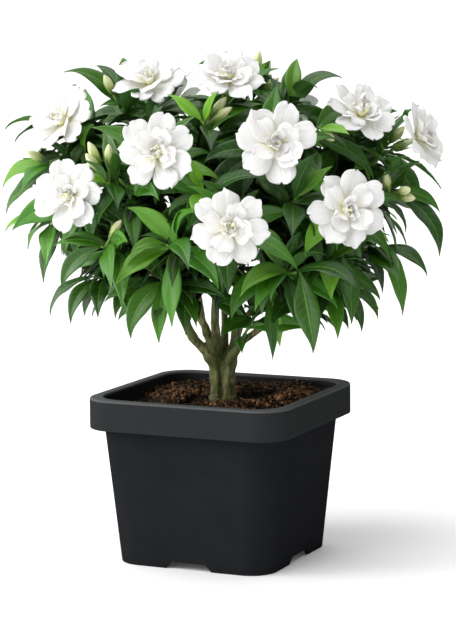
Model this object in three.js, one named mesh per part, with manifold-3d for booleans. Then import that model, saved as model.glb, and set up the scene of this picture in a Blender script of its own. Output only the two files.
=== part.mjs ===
// A potted gardenia: a square nursery pot, its soil, the woody plant and its leafy shoots and blooms.
// Millimetres, +Z up. The origin is the centre of the pot's footprint, on the surface it stands on.
// The pot's sides lie along X and Y. The plant has a frame of its own, turned about Z in the pot.
import * as THREE from "three";
import { mergeVertices } from "three/addons/utils/BufferGeometryUtils.js";
import Module from "manifold-3d";

const wasm = await Module();
wasm.setup();

// Driving dimensions of the pot
const POT_SIDE = 195; // outside of the rim
const POT_HEIGHT = 153;
const RIM_HEIGHT = 28;
const BASE_SIDE = 152; // outside of the foot
const MOUTH_SIDE = 175; // inside of the mouth
const WALL = 2.5;
const RIM_CORNER = 29;
const BASE_CORNER = 25;
const FLOOR_UNDERSIDE = 7;
const EDGE_ROUND = 1.5;
const FOOT_ROUND = 0.8;
const FOOT_LIP = 1; // how much thicker the foot is than the wall, inwards
const NOTCH_WIDTH = 46;
const NOTCH_SLANT = 6;
const NOTCH_HEIGHT = 6.5;
const DRAIN_RADIUS = 5;
const DRAIN_OFFSET = 45;
const DRAIN_SIDES = 10;
const CORNER_STEPS = 5;

// Driving dimensions of the soil and of the plant in it
const FIT_GAP = 0.4; // left between pieces that rest on each other
const JOIN_GAP = 0.3; // left where a shoot or bloom is set on its twig
const WELDS = [0.0001, 0.001, 0.01]; // distances below which points may count as one
const SLIVER = 0.12; // faces thinner than this are merged where pieces are joined
const SLIVER_STEP = 0.15; // share by which that grows while a skin isn't closed
const MOST_SLIVER = 2.5;
const SOIL_LEVEL = 141;
const SOIL_MOUND = 5; // higher at the trunk than at the wall
const SOIL_SLOPE = new THREE.Vector2(0.02, 0.07); // rise towards the back right corner
const SOIL_ROUGHNESS = 2.2;
const SOIL_RINGS = [0.82, 0.6, 0.4, 0.25];
const COLLAR_RADIUS = 12.5;
const COLLAR_BOTTOM = 84;
const COLLAR_TOP = 147;
const COLLAR_SHOWS = 2; // above the soil beside it
const PLANT_TURN = THREE.MathUtils.degToRad(24.6);
const CROWN_CENTRE = 300; // height of its widest level
const CROWN_RADIUS = 203;
const CROWN_RISE = 162; // above that level
const CROWN_SQUARENESS = 3.3;
const CROWN_FLOOR = 206; // height of the lowest leaf tips near the trunk
const CROWN_FLOOR_RISE = 62; // of the lowest tips at the crown's sides

// Driving dimensions of the shoots. Angles are in degrees.
const STEM_LENGTH = 46;
const STEM_RADIUS = 1.6;
const STEM_TAPER = 0.8;
const STEM_SIDES = 3;
const SHOOT_REACH = 150; // of the shoots' tips from the trunk's axis
const SHOOT_LEVEL = 330; // height below which shoots turn down
const SHOOT_RISE = { middle: 80, side: 66, furthest: 1.1, power: 1.5, turnDown: 0.14 };
const SHOOT_LEAVES = 9;
const BLOOM_SHOOT_LEAVES = 7;

// Driving dimensions of the leaves. Angles are in degrees.
const LEAF_LENGTH = 66;
const LEAF_LENGTH_SPREAD = 0.12;
const LEAF_WIDTH = 0.34; // of its length
const LEAF_THICK = 1.3; // at the midrib
const LEAF_STATIONS = [0, 0.34, 0.72, 1];
const LEAF_HALF_WIDTHS = [0, 0.92, 0.86, 0];
const LEAF_FOLD = 0.1; // rise of each half towards its edge
const LEAF_SPACING = 4.4; // between leaves along their stem
const LEAF_START = 1; // from the shoot's tip to its first leaf
const BLOOM_LEAF_START = 6;
const LEAF_OPENING = { first: 24, more: 62, spread: 8 }; // from the shoot's axis
const BLOOM_LEAF_OPENING = { first: 72, more: 34 };
const LEAF_DROOP = { first: 38, more: 22, spread: 12 };
const LOW_SHOOT = 275; // height below which leaves droop less
const LOW_DROOP = 0.75;
const YOUNG_LEAVES = 2; // at the tip of a shoot that has no bloom
const YOUNG_LENGTH = 0.74;
const YOUNG_DROOP = 0.6;
const DROOP_CURVE = 1.3;
const MEAN_DROOP = 1 / (1 + DROOP_CURVE);
const STEEPEST = -80;
const LEAF_TURN_SPREAD = 17;
const LEAF_ROLL_SPREAD = 26;
const REACHING_DROOP = 72;
const REACHING_ROLL_SPREAD = 17;
const LIGHTWARD = 0.4; // what is left of a leaf's fall where it grows from the underside
const FRONT_LIGHT = 45; // how much more the leaves turn their faces to the front than to the back
const SIDE_LIGHT = 0.4; // how much they turn to the sides
const FACE = { up: 0.6, out: 0.8 }; // where a leaf's upper face looks
const LEAF_TRIES = 16;
const PER_TRY = { turn: 11.5, opening: 2, lift: 2.5, shorter: 0.022, back: 2 };
const OWN_OVERLAP = 3; // cubic millimetres that leaves of one shoot may share at their roots

// The wood: two stems grown together, then limbs that spread into the crown. Each limb is a list of
// x, y, z and radius.
const LIMBS = {
  left_stem: [
    [-4, 0, 120, 6.4], [-4.5, -0.5, 150, 6.2], [-6, -1, 175, 6], [-15, -4, 190, 5], [-25, -7, 201, 4.7],
    [-31, -8, 212, 4.2], [-34, -11, 231, 3.2], [-50, -24, 254, 2.8], [-84, -46, 284, 2.2],
  ],
  right_stem: [
    [4, 0, 120, 8.4], [4.5, 0, 150, 8.2], [6, 0, 174, 7.2], [12, 3, 196, 5], [15, 5, 220, 4],
    [19, 2, 266, 3], [34, -14, 318, 2.2],
  ],
  green_limb: [
    [6, -4, 178, 5], [19, -12, 199, 3.8], [41, -13, 215, 3.4], [60, -22, 235, 2.6], [92, -48, 266, 2],
  ],
  middle_limb: [[-2, 1, 172, 5.6], [-6, 3, 214, 4.4], [-3, 0, 290, 3], [-6, -4, 350, 2.2]],
  curved_limb: [[-6, -3, 184, 3.6], [-15, -8, 206, 3], [-20, -34, 246, 2.4], [-20, -82, 278, 2]],
  rear_left_limb: [[-4, 3, 178, 4.8], [-14, 16, 208, 3.8], [-36, 36, 238, 3], [-74, 58, 270, 2.2]],
  rear_right_limb: [[7, 3, 178, 4.8], [17, 16, 208, 3.8], [40, 34, 238, 3], [80, 52, 270, 2.2]],
  rear_limb: [[3, 4, 180, 4.4], [3, 24, 212, 3.6], [4, 84, 280, 2.2]],
};
const TWIG_FROM = 215; // height above which a limb bears twigs
const LIMB_SAMPLES = 14; // places on each limb where twigs may start
const THICK_LIMB = 6; // radius from which a limb has more sides
const TWIG_RADII = [1.5, 1.9, STEM_RADIUS];
const TWIG_REACH = 400; // keeps a twig from starting right beside its end
const TWIG_CLIMB = 15; // what a twig climbs at least, or else it counts as longer
const TWIG_DROP_COST = 0.8;
const TWIG_BEND = 0.45; // of its length, straight before the shoot
const COLLAR_TAPER = 0.75;
const COLLAR_SIDES = 12;

// Shoots: x, y, z of the tip, in the plant's frame, where y points away from the front. A bloom has x, y, z
// of its heart, its turn to the right, its rise, the roll of its petals and its size.
const FRONT_BLOOMS = [
  [-138, -40, 400, -38, 34, 20, 0.96],
  [-62, -20, 433, -8, 52, 0, 1],
  [-54, -125, 377, -4, 20, 28, 1.03],
  [8, -45, 437, 4, 50, 30, 1.03],
  [47, -125, 384, 6, 16, 14, 1.1],
  [-130, -95, 340, -16, 10, 5, 0.92],
  [8, -170, 318, 0, 8, 42, 0.97],
  [107, -130, 328, 10, 12, 25, 1.03],
  [124, -35, 404, 28, 40, 10, 0.96],
  [176, -25, 383, 62, 24, 0, 0.94],
];
const FRONT_SHOOTS = [
  [-92, -15, 415], [68, -10, 418], [-150, -25, 362], [-152, 20, 392], [-158, -30, 312],
  [-46, -138, 301], [-104, -98, 296], [-112, -62, 266], [-50, -115, 268], [64, -134, 276],
  [102, -104, 280], [140, -50, 288], [156, -30, 334], [154, 14, 373], [104, -72, 256],
  [-14, -62, 402], [91, -50, 398], [-99, -95, 352], [38, -49, 241], [-14, -117, 345],
  [66, -110, 338],
];
const REAR_BLOOMS = [
  [-104, 126, 356, 222, 20, 10, 1],
  [24, 156, 372, 175, 20, 40, 1.05],
  [116, 118, 350, 132, 22, 25, 1],
  [-46, 100, 408, 200, 46, 0, 1],
  [66, 96, 402, 150, 44, 50, 0.95],
];
const REAR_SHOOTS = [
  [-146, 62, 326], [-88, 122, 284], [0, 148, 294], [86, 114, 284], [146, 60, 318], [33, 43, 424],
];

// Leaves that reach out of the crown, by x, y and z of the leaf's tip
const REACHING_LEAVES = {
  shoot_01: [[-139, -30, 446], [-112, 0, 451], [-87, 10, 459]],
  shoot_02: [[110, -25, 439], [71, 10, 456], [87, -60, 431]],
  shoot_03: [[-195, -35, 344], [-177, -60, 341]],
  shoot_04: [[-197, 10, 394], [-186, -10, 383]],
  shoot_05: [[-194, -40, 305], [-172, -60, 290], [-155, -70, 275]],
  shoot_06: [[-77, -160, 295], [-26, -185, 285]],
  shoot_07: [[-139, -95, 258], [-93, -150, 264]],
  shoot_08: [[-153, -60, 231], [-133, -85, 226], [-108, -105, 234]],
  shoot_09: [[-78, -140, 220], [-52, -120, 214]],
  shoot_10: [[71, -140, 208], [117, -170, 263], [16, -170, 260]],
  shoot_11: [[112, -130, 230], [93, -150, 254]],
  shoot_12: [[184, -60, 263], [159, -70, 229]],
  shoot_13: [[197, -40, 278], [198, -30, 317]],
  shoot_14: [[185, -15, 402], [210, -10, 357]],
  shoot_15: [[139, -85, 228], [124, -100, 219], [102, -105, 213]],
  shoot_19: [[44, -70, 191], [49, -40, 197]],
  shoot_27: [[-20, 27, 451]],
};

// Shoots that end in buds, with each bud's offset from the tip
const BUDS = {
  shoot_01: [[-11, -13, 28]],
  shoot_03: [[-22, -18, 14]],
  shoot_04: [[-12, -14, 20]],
  shoot_07: [[18, -8, 24]],
  shoot_13: [[12, -30, 7], [17, -25, -2], [-9, -15, 21]],
  shoot_14: [[18, -26, 6], [14, -12, 20]],
  shoot_16: [[20, -2, 22], [25, -8, 13]],
  shoot_17: [[9, -22, -13]],
  shoot_18: [[-15, -8, 36], [-17, -12, 26], [3, -14, 34]],
  shoot_26: [[8, 14, 26], [-20, -20, 24]],
  shoot_27: [[4, 0, 38], [14, -6, 28], [22, -10, 13]],
};

// A bud on its stalk: shares of its length with the radius there
const BUD_PROFILE = [[0.3, 1.1], [0.58, 4], [0.86, 3.1]];
const BUD_SIDES = 5;
const BUD_ROOT = 4; // below the shoot's tip

// The bloom: a calyx and tube behind, then three whorls of petals. Angles are above the bloom's plane.
const TUBE_LENGTH = 24;
const TUBE_PROFILE = [[JOIN_GAP, 2.2], [4, 4], [12, 2.8], [TUBE_LENGTH, 3.6]];
const TUBE_CAP = 8;
const TUBE_SIDES = 5;
const BROAD = { stations: [0, 0.42, 0.74, 0.93, 1], halves: [0, 0.6, 1, 0.74, 0] };
const PLAIN = { stations: [0, 0.5, 0.86, 1], halves: [0, 0.8, 0.9, 0] };
const WHORLS = [
  { count: 7, length: 34, half: 11.5, rise: 30, bend: 40, turn: 0, tilt: 0.16, cup: 0, seat: 0, ...BROAD },
  { count: 4, length: 27, half: 11, rise: 52, bend: 42, turn: 25, tilt: 0.2, cup: 0.05, seat: 2.5, ...PLAIN },
  { count: 2, length: 18, half: 8, rise: 74, bend: 26, turn: 60, tilt: 0.3, cup: 0.1, seat: 4.5, ...PLAIN },
];
const PETAL_ROOT = 1.4; // from the bloom's axis
const PETAL_THICK = 1.2;
const PETAL_SPREAD = { turn: 5, size: 0.07, rise: 5 };

const UP = new THREE.Vector3(0, 0, 1);
const BLOOM_KEYS = 50; // the draws of the shoots with blooms are numbered from here
const GOLDEN_TURN = THREE.MathUtils.degToRad(137.5);
const rad = THREE.MathUtils.degToRad;

// A repeatable draw between 0 and 1 for a list of whole numbers
function draw(...keys) {
  let h = 0x9e3779b9;
  for (const key of keys) {
    h = Math.imul(h ^ key, 0x85ebca6b);
    h ^= h >>> 13;
    h = Math.imul(h, 0xc2b2ae35);
    h ^= h >>> 16;
  }
  return (h >>> 0) / 4294967296;
}

const vec = (x, y, z) => new THREE.Vector3(x, y, z);
const spread = (amount, ...keys) => amount * (2 * draw(...keys) - 1);

// The direction at an angle from one direction towards another that is square to it
const turned = (from, towards, angle) =>
  from.clone().multiplyScalar(Math.cos(angle)).addScaledVector(towards, Math.sin(angle));

// Two directions square to an axis and to each other, the first of them level
function squareTo(axis) {
  const across = vec(-axis.y, axis.x, 0.001).normalize();
  return [across, axis.clone().cross(across)];
}

// A closed skin over rings of points, from a start point to an end point. Rings run anticlockwise
// seen from the end, and all have the same count.
function loft(start, rings, end) {
  const count = rings[0].length;
  const index = [];
  const last = 1 + (rings.length - 1) * count;
  const tip = last + count;
  for (let k = 0; k < count; k++) {
    const next = (k + 1) % count;
    index.push(0, 1 + next, 1 + k);
    for (let r = 0; r < rings.length - 1; r++) {
      const low = 1 + r * count;
      const high = low + count;
      index.push(low + k, low + next, high + next, low + k, high + next, high + k);
    }
    index.push(tip, last + k, last + next);
  }
  const geometry = new THREE.BufferGeometry().setFromPoints([start, ...rings.flat(), end]);
  geometry.setIndex(index);
  return geometry;
}

function solidOf(geometry) {
  const bare = geometry.clone();
  bare.deleteAttribute("normal");
  bare.deleteAttribute("uv");
  const merged = mergeVertices(bare, 1e-4);
  return new wasm.Manifold(
    new wasm.Mesh({
      numProp: 3,
      vertProperties: new Float32Array(merged.attributes.position.array),
      triVerts: new Uint32Array(merged.index.array),
    }),
  );
}

function geometryOf(solid) {
  const mesh = solid.getMesh();
  const geometry = new THREE.BufferGeometry();
  geometry.setAttribute("position", new THREE.BufferAttribute(mesh.vertProperties, 3));
  geometry.setIndex(new THREE.BufferAttribute(mesh.triVerts, 1));
  return geometry;
}

const join = (solids) => solids.reduce((whole, piece) => whole.add(piece));

// Whether a skin of the plant is still closed, in its place, when points that lie together are merged
function staysClosed(solid, distance) {
  const index = mergeVertices(geometryOf(solid).rotateZ(PLANT_TURN), distance).index.array;
  const faces = new Map();
  for (let i = 0; i < index.length; i += 3) {
    const corners = [index[i], index[i + 1], index[i + 2]];
    if (new Set(corners).size < 3) continue;
    corners.forEach((from, k) => {
      const edge = [from, corners[(k + 1) % 3]].sort().join();
      faces.set(edge, (faces.get(edge) ?? 0) + 1);
    });
  }
  return [...faces.values()].every((count) => count === 2);
}

// Joined pieces as one body, without loose scraps and without the slivers where they cross
function grown(pieces) {
  const whole = join(pieces);
  let body = null;
  for (let share = 1; share < MOST_SLIVER; share += SLIVER_STEP) {
    const bodies = whole.simplify(SLIVER * share).decompose();
    body = bodies.reduce((best, other) => (other.volume() > best.volume() ? other : best));
    if (WELDS.every((distance) => staysClosed(body, distance))) break;
  }
  return body;
}

// A ring of a square with rounded corners, anticlockwise from above
function roundedSquare(side, radius, z) {
  const points = [];
  const inset = side / 2 - radius;
  for (let corner = 0; corner < 4; corner++) {
    const quarter = corner * (Math.PI / 2);
    const x = Math.SQRT2 * inset * Math.cos(quarter + Math.PI / 4);
    const y = Math.SQRT2 * inset * Math.sin(quarter + Math.PI / 4);
    for (let step = 0; step <= CORNER_STEPS; step++) {
      const angle = quarter + (step / CORNER_STEPS) * (Math.PI / 2);
      points.push(vec(x + radius * Math.cos(angle), y + radius * Math.sin(angle), z));
    }
  }
  return points;
}

// A ring round a point of a curve, in the plane of two directions
function ringAbout(centre, [across, along], radius, sides) {
  return Array.from({ length: sides }, (_, k) =>
    centre.clone().addScaledVector(turned(across, along, (2 * Math.PI * k) / sides), radius),
  );
}

// A tapered round tube along a curve, through a list of radii
function tube(curve, radii, steps, sides) {
  const frames = curve.computeFrenetFrames(steps);
  const rings = [];
  for (let i = 0; i <= steps; i++) {
    const place = (i / steps) * (radii.length - 1);
    const low = Math.min(Math.floor(place), radii.length - 2);
    const radius = THREE.MathUtils.lerp(radii[low], radii[low + 1], place - low);
    const square = [frames.normals[i], frames.binormals[i]];
    rings.push(ringAbout(curve.getPoint(i / steps), square, radius, sides));
  }
  return solidOf(loft(curve.getPoint(0), rings, curve.getPoint(1)));
}

// The pot
const INNER_FLOOR = FLOOR_UNDERSIDE + WALL;
const innerSide = (z) => {
  const base = BASE_SIDE - 2 * WALL;
  return base + ((MOUTH_SIDE - base) * z) / POT_HEIGHT;
};
const innerCorner = (z) => BASE_CORNER - WALL + ((RIM_CORNER - BASE_CORNER) * z) / POT_HEIGHT;
const wallRing = (z, out) => roundedSquare(innerSide(z) + 2 * out, innerCorner(z) + out, z);
const rimRing = (z, inset) => roundedSquare(POT_SIDE - 2 * inset, RIM_CORNER - inset, z);

function potBody() {
  const rimBottom = POT_HEIGHT - RIM_HEIGHT;
  const underLedge = POT_HEIGHT - WALL;
  const rings = [
    wallRing(FLOOR_UNDERSIDE, -FOOT_LIP),
    wallRing(0, -FOOT_LIP),
    wallRing(0, WALL - FOOT_ROUND),
    wallRing(FOOT_ROUND, WALL),
    wallRing(underLedge, WALL),
    rimRing(underLedge, WALL),
    rimRing(rimBottom, WALL),
    rimRing(rimBottom, EDGE_ROUND / 2),
    rimRing(rimBottom + EDGE_ROUND, 0),
    rimRing(POT_HEIGHT - EDGE_ROUND, 0),
    rimRing(POT_HEIGHT, EDGE_ROUND),
    wallRing(POT_HEIGHT, EDGE_ROUND),
    wallRing(POT_HEIGHT - EDGE_ROUND, 0),
    wallRing(INNER_FLOOR, 0),
  ];
  return solidOf(loft(vec(0, 0, FLOOR_UNDERSIDE), rings, vec(0, 0, INNER_FLOOR)));
}

// A bar with slanted ends, which cuts a notch in the foot on two opposite sides
function notchBar(turn) {
  const half = NOTCH_WIDTH / 2;
  const shape = new THREE.Shape([
    new THREE.Vector2(-half, -1),
    new THREE.Vector2(half, -1),
    new THREE.Vector2(half, 0),
    new THREE.Vector2(half - NOTCH_SLANT, NOTCH_HEIGHT),
    new THREE.Vector2(-half + NOTCH_SLANT, NOTCH_HEIGHT),
    new THREE.Vector2(-half, 0),
  ]);
  const bar = new THREE.ExtrudeGeometry(shape, { depth: POT_SIDE, bevelEnabled: false });
  bar.translate(0, 0, -POT_SIDE / 2).rotateX(Math.PI / 2).rotateZ(turn);
  return solidOf(bar);
}

function drainHole(x, y) {
  const hole = new THREE.CylinderGeometry(DRAIN_RADIUS, DRAIN_RADIUS, 4 * WALL, DRAIN_SIDES);
  hole.rotateX(Math.PI / 2).translate(x, y, FLOOR_UNDERSIDE + WALL / 2);
  return solidOf(hole);
}

function makePot() {
  let pot = potBody();
  for (const turn of [0, Math.PI / 2]) pot = pot.subtract(notchBar(turn));
  for (const x of [-DRAIN_OFFSET, DRAIN_OFFSET])
    for (const y of [-DRAIN_OFFSET, DRAIN_OFFSET]) pot = pot.subtract(drainHole(x, y));
  return pot;
}

// The soil's top is a low mound that falls towards the front left corner
function soilHeight(x, y, key) {
  const reach = MOUTH_SIDE / 2;
  const mound = SOIL_MOUND * Math.max(0, 1 - (x * x + y * y) / (reach * reach));
  return SOIL_LEVEL + SOIL_SLOPE.x * x + SOIL_SLOPE.y * y + mound + spread(SOIL_ROUGHNESS, 7, key);
}

function makeSoil() {
  const outline = (z) => roundedSquare(innerSide(z) - 2 * FIT_GAP, innerCorner(z) - FIT_GAP, z);
  const edge = outline(SOIL_LEVEL).map((p, k) => {
    const z = soilHeight(p.x, p.y, k);
    return outline(z)[k];
  });
  const inner = SOIL_RINGS.map((share, r) =>
    edge.map((p, k) => {
      const x = p.x * share;
      const y = p.y * share;
      return vec(x, y, soilHeight(x, y, 100 * (r + 1) + k));
    }),
  );
  const holeRadius = (COLLAR_RADIUS + FIT_GAP) / Math.cos(Math.PI / edge.length);
  const holeRing = (z) =>
    edge.map((_, k) => {
      const angle = Math.PI / 4 + ((k - CORNER_STEPS / 2) * 2 * Math.PI) / edge.length;
      return vec(holeRadius * Math.cos(angle), holeRadius * Math.sin(angle), z);
    });
  const bottom = INNER_FLOOR + FIT_GAP;
  const holeBottom = COLLAR_BOTTOM - FIT_GAP;
  const rings = [outline(bottom), edge, ...inner, holeRing(COLLAR_TOP - COLLAR_SHOWS), holeRing(holeBottom)];
  return solidOf(loft(vec(0, 0, bottom), rings, vec(0, 0, holeBottom)));
}

// The direction of a turn to the right of the viewer's side and a rise above the level
function facing(turn, rise) {
  return turned(turned(vec(0, -1, 0), vec(1, 0, 0), rad(turn)), UP, rad(rise));
}

// Shoots stand up at the top of the crown and lie out at its sides
function shootAxis(tip) {
  const reach = Math.hypot(tip.x, tip.y) / SHOOT_REACH;
  const lean = SHOOT_RISE.side * Math.pow(Math.min(reach, SHOOT_RISE.furthest), SHOOT_RISE.power);
  const rise = SHOOT_RISE.middle - lean - SHOOT_RISE.turnDown * Math.max(0, SHOOT_LEVEL - tip.z);
  return turned(vec(tip.x, tip.y, 0).normalize(), UP, rad(rise));
}

function listShoots() {
  const shoots = [];
  const name = (kind, n) => `${kind}_${String(n).padStart(2, "0")}`;
  [...FRONT_SHOOTS, ...REAR_SHOOTS].forEach(([x, y, z], i) => {
    const tip = vec(x, y, z);
    const axis = shootAxis(tip);
    shoots.push({ name: name("shoot", i + 1), key: i, tip, axis, leaves: SHOOT_LEAVES, bloom: null });
  });
  [...FRONT_BLOOMS, ...REAR_BLOOMS].forEach(([x, y, z, turn, rise, roll, size], i) => {
    const centre = vec(x, y, z);
    const axis = facing(turn, rise);
    const tip = centre.clone().addScaledVector(axis, -TUBE_LENGTH);
    const bloom = { name: name("bloom", i + 1), centre, axis, roll: rad(roll), size, key: i };
    const key = BLOOM_KEYS + i;
    shoots.push({ name: name("bloom_shoot", i + 1), key, tip, axis, leaves: BLOOM_SHOOT_LEAVES, bloom });
  });
  return shoots;
}

// A thin blade along a spine, with a keel below and an edge on each side that is lifted by the cup
function blade({ spine, normals, sides }, halves, thick, cup) {
  const rings = [];
  for (let i = 1; i < spine.length - 1; i++) {
    const lifted = spine[i].clone().addScaledVector(normals[i], cup * halves[i]);
    rings.push([
      lifted.clone().addScaledVector(sides[i], halves[i]),
      lifted.clone().addScaledVector(sides[i], -halves[i]),
      spine[i].clone().addScaledVector(normals[i], cup * halves[i] - thick),
    ]);
  }
  return solidOf(loft(spine[0], rings, spine[spine.length - 1]));
}

function petal(bloom, whorl, number, w) {
  const jitter = spread(PETAL_SPREAD.turn, 31, bloom.key, w, number);
  const angle = bloom.roll + rad(whorl.turn + (360 * number) / whorl.count + jitter);
  const out = turned(...squareTo(bloom.axis), angle);
  const round = bloom.axis.clone().cross(out);
  const size = bloom.size * (1 + spread(PETAL_SPREAD.size, 32, bloom.key, w, number));
  const rise = whorl.rise + spread(PETAL_SPREAD.rise, 33, bloom.key, w, number);
  const { stations, halves } = whorl;
  const bent = (share) => rad(rise - whorl.bend * share * share);
  const seat = bloom.centre.clone().addScaledVector(bloom.axis, whorl.seat);
  const spine = [seat.addScaledVector(out, PETAL_ROOT)];
  const normals = [];
  const sides = [];
  stations.forEach((at, i) => {
    const normal = turned(bloom.axis, out, -bent(at));
    normals.push(normal);
    sides.push(round.clone().addScaledVector(normal, whorl.tilt).normalize());
    if (i === 0) return;
    const middle = bent((at + stations[i - 1]) / 2);
    const step = size * whorl.length * (at - stations[i - 1]);
    spine.push(spine[i - 1].clone().addScaledVector(turned(out, bloom.axis, middle), step));
  });
  const wide = halves.map((share) => share * whorl.half * size);
  return blade({ spine, normals, sides }, wide, PETAL_THICK, whorl.cup);
}

function makeBloom(bloom) {
  const square = squareTo(bloom.axis);
  const at = (height) => bloom.centre.clone().addScaledVector(bloom.axis, height - TUBE_LENGTH);
  const rings = TUBE_PROFILE.map(([height, radius]) => ringAbout(at(height), square, radius, TUBE_SIDES));
  const pieces = [solidOf(loft(at(JOIN_GAP), rings, at(TUBE_LENGTH + TUBE_CAP)))];
  WHORLS.forEach((whorl, w) => {
    for (let number = 0; number < whorl.count; number++) pieces.push(petal(bloom, whorl, number, w));
  });
  return grown(pieces);
}

// One try at a leaf: each try turns it, lifts it or shortens it a little more than the one before
function leafPlan(shoot, number, attempt) {
  const keys = [shoot.key, number];
  const share = number / (shoot.leaves - 1);
  const { bloom } = shoot;
  const young = !bloom && number < YOUNG_LEAVES;
  const low = shoot.tip.z < LOW_SHOOT ? LOW_DROOP : 1;
  const opening = bloom
    ? BLOOM_LEAF_OPENING.first + BLOOM_LEAF_OPENING.more * share
    : LEAF_OPENING.first + LEAF_OPENING.more * Math.sqrt(share);
  const tried = spread(attempt * PER_TRY.opening, 4, ...keys, attempt);
  const diverge = rad(opening + spread(LEAF_OPENING.spread, 3, ...keys) + tried);
  const shift = rad((attempt % 2 ? 1 : -1) * Math.ceil(attempt / 2) * PER_TRY.turn);
  const start = 2 * Math.PI * draw(2, shoot.key) + rad(spread(LEAF_TURN_SPREAD, 1, ...keys));
  const turn = start + GOLDEN_TURN * number + shift;
  const first = turned(shoot.axis, turned(...squareTo(shoot.axis), turn), diverge);
  if (first.z < 0) first.z *= LIGHTWARD;
  const grownTo = (young ? YOUNG_LENGTH : 1) * (1 + spread(LEAF_LENGTH_SPREAD, 5, ...keys));
  const length = LEAF_LENGTH * grownTo * (1 - PER_TRY.shorter * attempt);
  const fall = LEAF_DROOP.first + LEAF_DROOP.more * share + spread(LEAF_DROOP.spread, 6, ...keys);
  const droop = rad(fall) * (young ? YOUNG_DROOP : 1) * low;
  const back = (bloom ? BLOOM_LEAF_START : LEAF_START) + LEAF_SPACING * number;
  const level = vec(first.x, first.y, 0).normalize();
  const rise = Math.atan2(first.z, Math.hypot(first.x, first.y)) + rad(PER_TRY.lift * attempt);
  const roll = rad(spread(LEAF_ROLL_SPREAD, 8, ...keys));
  return { back, level, rise, length, droop, roll };
}

// A leaf whose tip is given. Each try sets its root a little further back on the shoot.
function reachingPlan(shoot, target, number, attempt) {
  const back = LEAF_START + LEAF_SPACING * number + PER_TRY.back * attempt;
  const chord = vec(...target).sub(shoot.tip).addScaledVector(shoot.axis, back);
  const droop = rad(REACHING_DROOP);
  const rise = Math.atan2(chord.z, Math.hypot(chord.x, chord.y)) + droop * MEAN_DROOP;
  const length = chord.length() * (1 + (droop * droop) / 24);
  const roll = rad(spread(REACHING_ROLL_SPREAD, 9, shoot.key, number));
  return { back, level: vec(chord.x, chord.y, 0).normalize(), rise, length, droop, roll };
}

// The leaf's line from its root, which bends down under its weight as it goes out
function leafSpine(shoot, plan) {
  const steepest = rad(STEEPEST);
  const heading = (share) =>
    turned(plan.level, UP, Math.max(plan.rise - plan.droop * Math.pow(share, DROOP_CURVE), steepest));
  const outward = vec(SIDE_LIGHT * shoot.tip.x, shoot.tip.y - FRONT_LIGHT, 0).normalize();
  const bright = UP.clone().multiplyScalar(FACE.up).addScaledVector(outward, FACE.out).normalize();
  const spine = [shoot.tip.clone().addScaledVector(shoot.axis, -plan.back)];
  const normals = [];
  const sides = [];
  LEAF_STATIONS.forEach((at, i) => {
    const direction = heading(at);
    const normal = bright.clone().addScaledVector(direction, -bright.dot(direction)).normalize();
    normal.applyAxisAngle(direction, plan.roll);
    normals.push(normal);
    sides.push(normal.clone().cross(direction));
    if (i === 0) return;
    const before = LEAF_STATIONS[i - 1];
    spine.push(spine[i - 1].clone().addScaledVector(heading((at + before) / 2), plan.length * (at - before)));
  });
  return { spine, normals, sides };
}

// The leaf, with a margin at its tip, on its sides and below, and raised by some height
function leafSolid(shoot, plan, margin, raise) {
  const half = (plan.length * LEAF_WIDTH) / 2;
  const halves = LEAF_HALF_WIDTHS.map((share) => share * half + (share ? margin : 0));
  const line = leafSpine(shoot, plan);
  const last = line.spine.length - 1;
  const spine = line.spine.map((p, i) => {
    if (i > 0 && i < last) return p.clone().addScaledVector(line.normals[i], raise);
    return p.clone();
  });
  spine[last].addScaledVector(spine[last].clone().sub(spine[last - 1]).normalize(), 2 * margin);
  return blade({ ...line, spine }, halves, LEAF_THICK + margin + raise, LEAF_FOLD);
}

function makeStem(shoot) {
  const square = squareTo(shoot.axis);
  const at = (back) => shoot.tip.clone().addScaledVector(shoot.axis, -back);
  const rings = [
    ringAbout(at(STEM_LENGTH - JOIN_GAP), square, STEM_RADIUS, STEM_SIDES),
    ringAbout(at(0), square, STEM_RADIUS * STEM_TAPER, STEM_SIDES),
  ];
  return solidOf(loft(at(STEM_LENGTH - JOIN_GAP), rings, at(0)));
}

// A pointed bud on its stalk, out of the stem's tip
function makeBud(shoot, offset) {
  const root = shoot.tip.clone().addScaledVector(shoot.axis, -BUD_ROOT);
  const end = shoot.tip.clone().add(vec(...offset));
  const axis = end.clone().sub(root);
  const square = squareTo(axis.clone().normalize());
  const rings = BUD_PROFILE.map(([share, radius]) =>
    ringAbout(root.clone().addScaledVector(axis, share), square, radius, BUD_SIDES),
  );
  return solidOf(loft(root, rings, end));
}

// The twig that carries a shoot leaves the nearest free point of the wood, with a preference for low ones
function twigFor(shoot, anchors) {
  const end = shoot.tip.clone().addScaledVector(shoot.axis, -STEM_LENGTH);
  const cost = (p) => {
    const away = p.distanceTo(end);
    return away + TWIG_DROP_COST * Math.max(0, p.z - end.z + TWIG_CLIMB) + TWIG_REACH / away;
  };
  const start = anchors.reduce((best, p) => (cost(p) < cost(best) ? p : best));
  anchors.splice(anchors.indexOf(start), 1);
  const bend = end.clone().addScaledVector(shoot.axis, -TWIG_BEND * start.distanceTo(end));
  return new THREE.QuadraticBezierCurve3(start, bend, end);
}

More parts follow.
